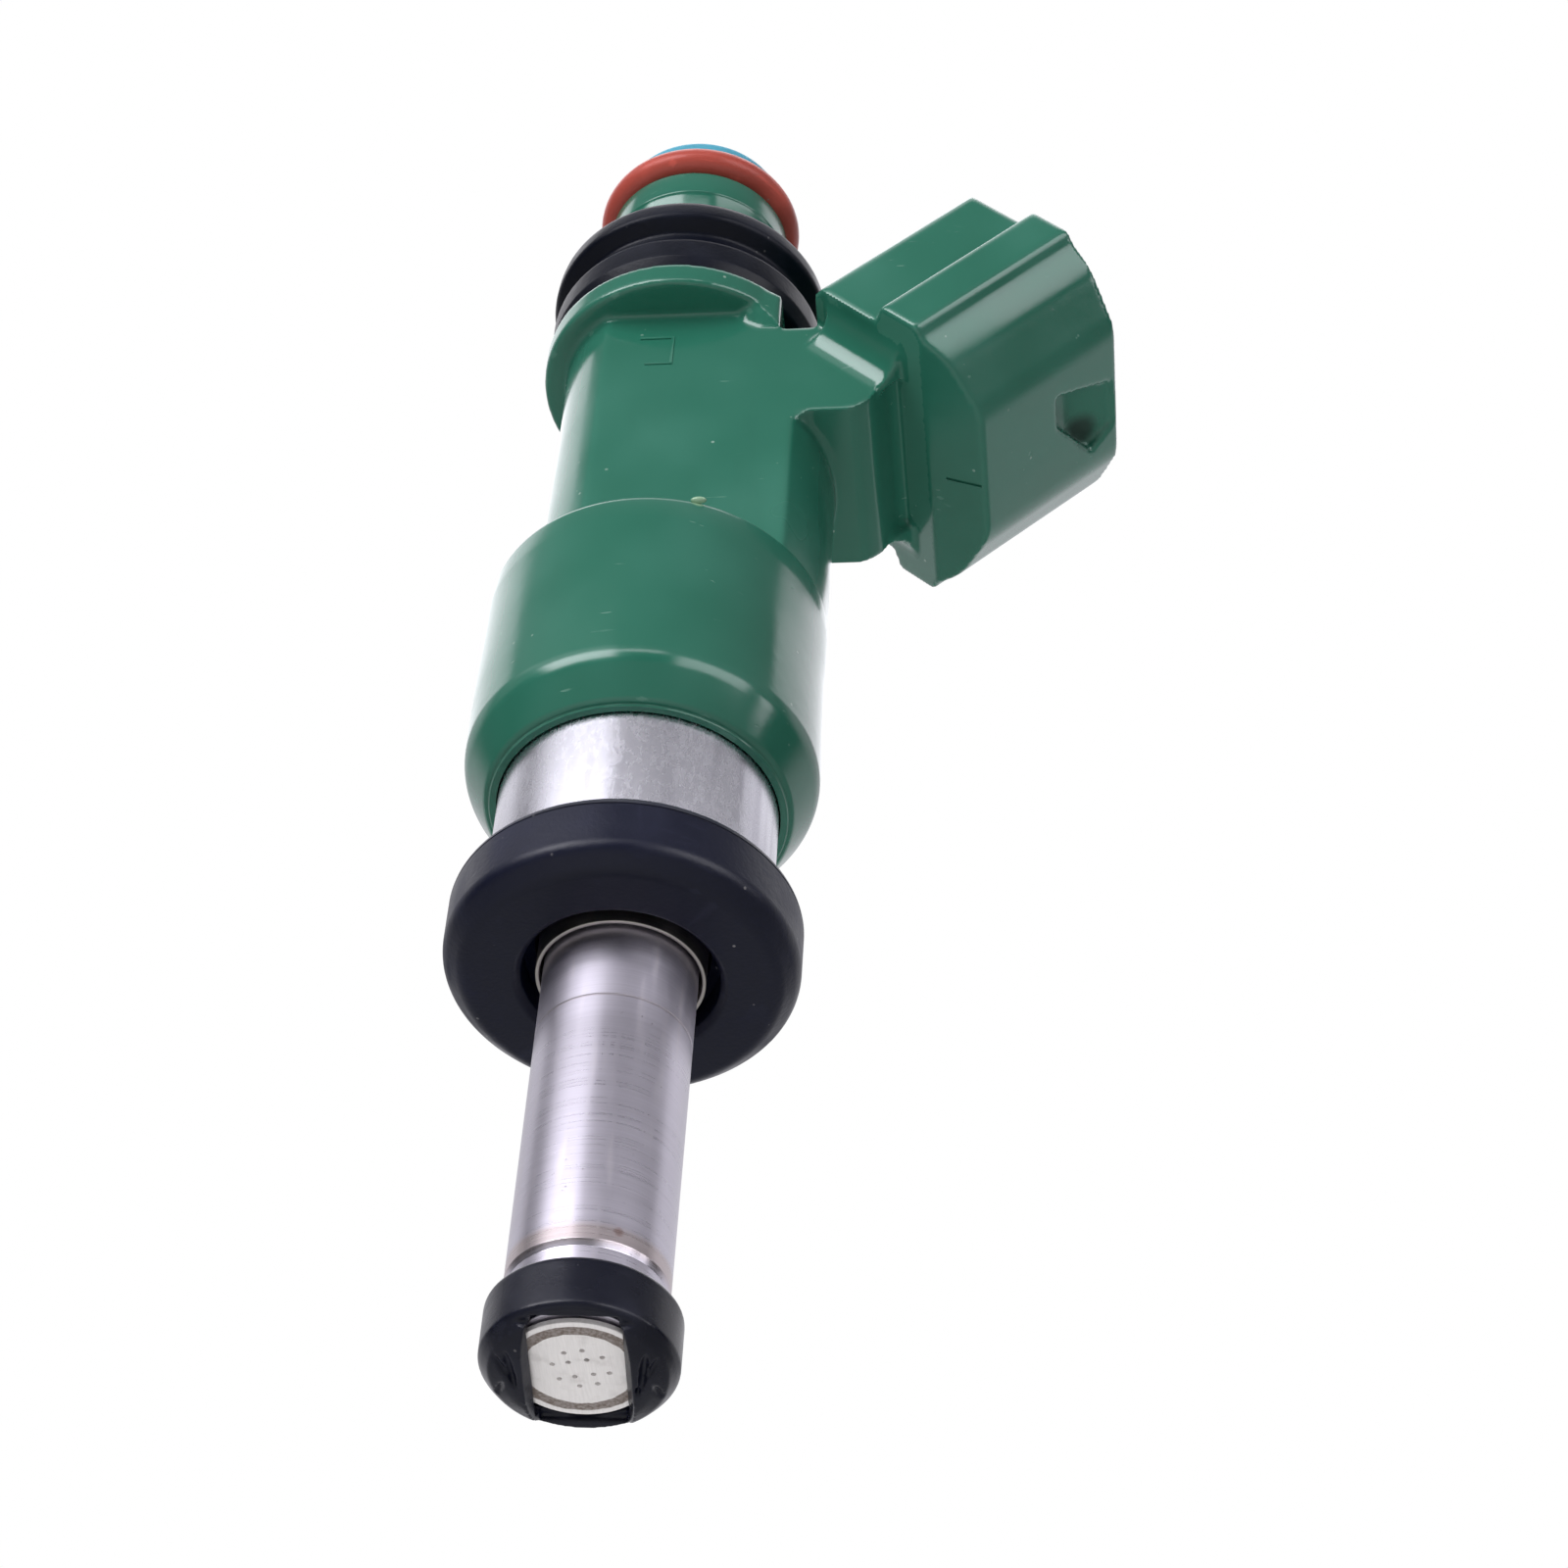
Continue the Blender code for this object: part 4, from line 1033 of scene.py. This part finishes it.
# Lamps, which only light matt surfaces: place, target (metres), size (metres) and power (watts)
LAMPS = {
    "key": ((-0.20, -0.52, 0.26), (0, 0, 0.045), 0.50, 3.6),
    "fill": ((0.45, -0.25, 0.0), (0, 0, 0.045), 0.35, 0.08),
    "under": ((0.0, 0.22, -0.25), (0, 0, 0), 0.15, 0.27),
}
FLOOR_Z = -0.32
FLOOR_HALF = 3.0


def place_camera():
    data = bpy.data.cameras.new("camera")
    data.sensor_width = 36.0
    data.lens = CAMERA_LENS
    data.clip_start = 0.005
    data.clip_end = 20.0
    camera = bpy.data.objects.new("camera", data)
    camera.matrix_world = frame_at(CAMERA_PLACE, Vector(CAMERA_RIGHT), Vector(CAMERA_UP), Vector(CAMERA_BACK))
    bpy.context.scene.collection.objects.link(camera)
    bpy.context.scene.camera = camera


class Sky:
    """The studio round the object, as light from each direction."""

    def __init__(self):
        world = bpy.data.worlds.new("studio")
        bpy.context.scene.world = world
        world.use_nodes = True
        self.tree = world.node_tree
        self.background = self.tree.nodes["Background"]
        direction = self.tree.nodes.new("ShaderNodeTexCoord").outputs["Generated"]
        split = self.tree.nodes.new("ShaderNodeSeparateXYZ")
        self.tree.links.new(direction, split.inputs[0])
        self.axes = split.outputs

    def math(self, operation, a, b):
        made = self.tree.nodes.new("ShaderNodeMath")
        made.operation = operation
        for socket, value in zip(made.inputs, (a, b)):
            if isinstance(value, (int, float)):
                socket.default_value = value
            else:
                self.tree.links.new(value, socket)
        return made.outputs[0]

    def step(self, value, low, high):
        made = self.tree.nodes.new("ShaderNodeMapRange")
        made.interpolation_type = "SMOOTHSTEP"
        self.tree.links.new(value, made.inputs["Value"])
        made.inputs["From Min"].default_value = low
        made.inputs["From Max"].default_value = high
        return made.outputs["Result"]

    def panel(self, limits, edge, strength):
        """A light that fills the directions within limits on each axis, fading over edge."""
        light = strength
        for axis, (low, high) in zip(self.axes, limits):
            if low > -1:
                light = self.math("MULTIPLY", self.step(axis, low - edge, low + edge), light)
            if high < 1:
                fade = self.math("SUBTRACT", 1.0, self.step(axis, high - edge, high + edge))
                light = self.math("MULTIPLY", fade, light)
        return light

    def total(self, base, panels):
        """The light of all the panels together, over an even base."""
        light = base
        for limits, edge, strength in panels:
            light = self.math("ADD", self.panel(limits, edge, strength), light)
        return light

    def tinted(self, light, colour):
        tone = self.tree.nodes.new("ShaderNodeVectorMath")
        tone.operation = "SCALE"
        tone.inputs[0].default_value = colour
        self.tree.links.new(light, tone.inputs["Scale"])
        return tone.outputs[0]

    def either(self, choice, first, second):
        """The first colour where choice is 0, the second where it is 1."""
        mix = self.tree.nodes.new("ShaderNodeMixRGB")
        self.tree.links.new(choice, mix.inputs["Fac"])
        for socket, colour in zip((mix.inputs["Color1"], mix.inputs["Color2"]), (first, second)):
            if isinstance(colour, tuple):
                socket.default_value = colour
            else:
                self.tree.links.new(colour, socket)
        return mix.outputs[0]


def light_studio():
    """The camera sees plain white. Shiny and matt surfaces each see their own panels."""
    bpy.context.scene.view_settings.view_transform = "Standard"
    sky = Sky()
    ray = sky.tree.nodes.new("ShaderNodeLightPath").outputs
    mirrored_light = sky.tinted(sky.total(SEEN_BASE, SEEN_PANELS), SEEN_TINT)
    matt_light = sky.tinted(sky.total(SOFT_BASE, SOFT_PANELS), NEUTRAL)
    light = sky.either(ray["Is Glossy Ray"], matt_light, mirrored_light)
    sky.tree.links.new(sky.either(ray["Is Camera Ray"], light, BACKDROP), sky.background.inputs["Color"])


def make_lamps():
    for name, (place, target, size, power) in LAMPS.items():
        data = bpy.data.lights.new(name, "AREA")
        data.size = size
        data.energy = power
        lamp = bpy.data.objects.new(name, data)
        lamp.location = place
        lamp.rotation_euler = (Vector(target) - Vector(place)).to_track_quat("-Z", "Y").to_euler()
        lamp.visible_camera = False
        lamp.visible_glossy = False
        bpy.context.scene.collection.objects.link(lamp)


def make_floor():
    work = bmesh.new()
    bmesh.ops.create_grid(work, x_segments=1, y_segments=1, size=FLOOR_HALF)
    bmesh.ops.translate(work, vec=(0, 0, FLOOR_Z), verts=work.verts)
    floor = new_object("floor", work)
    material = bpy.data.materials.new("pale_floor")
    material.use_nodes = True
    shader = material.node_tree.nodes["Principled BSDF"]
    shader.inputs["Base Color"].default_value = (0.9, 0.9, 0.9, 1.0)
    shader.inputs["Roughness"].default_value = 0.8
    floor.data.materials.append(material)


place_camera()
light_studio()
make_floor()
make_lamps()
make_housing()
make_terminals()
make_nozzle_tube()
make_spray_plate()
make_cap()
make_shell()
make_cushion()
make_collar()
make_grommet()
make_o_ring()
make_inlet()
dress_inner_pieces()
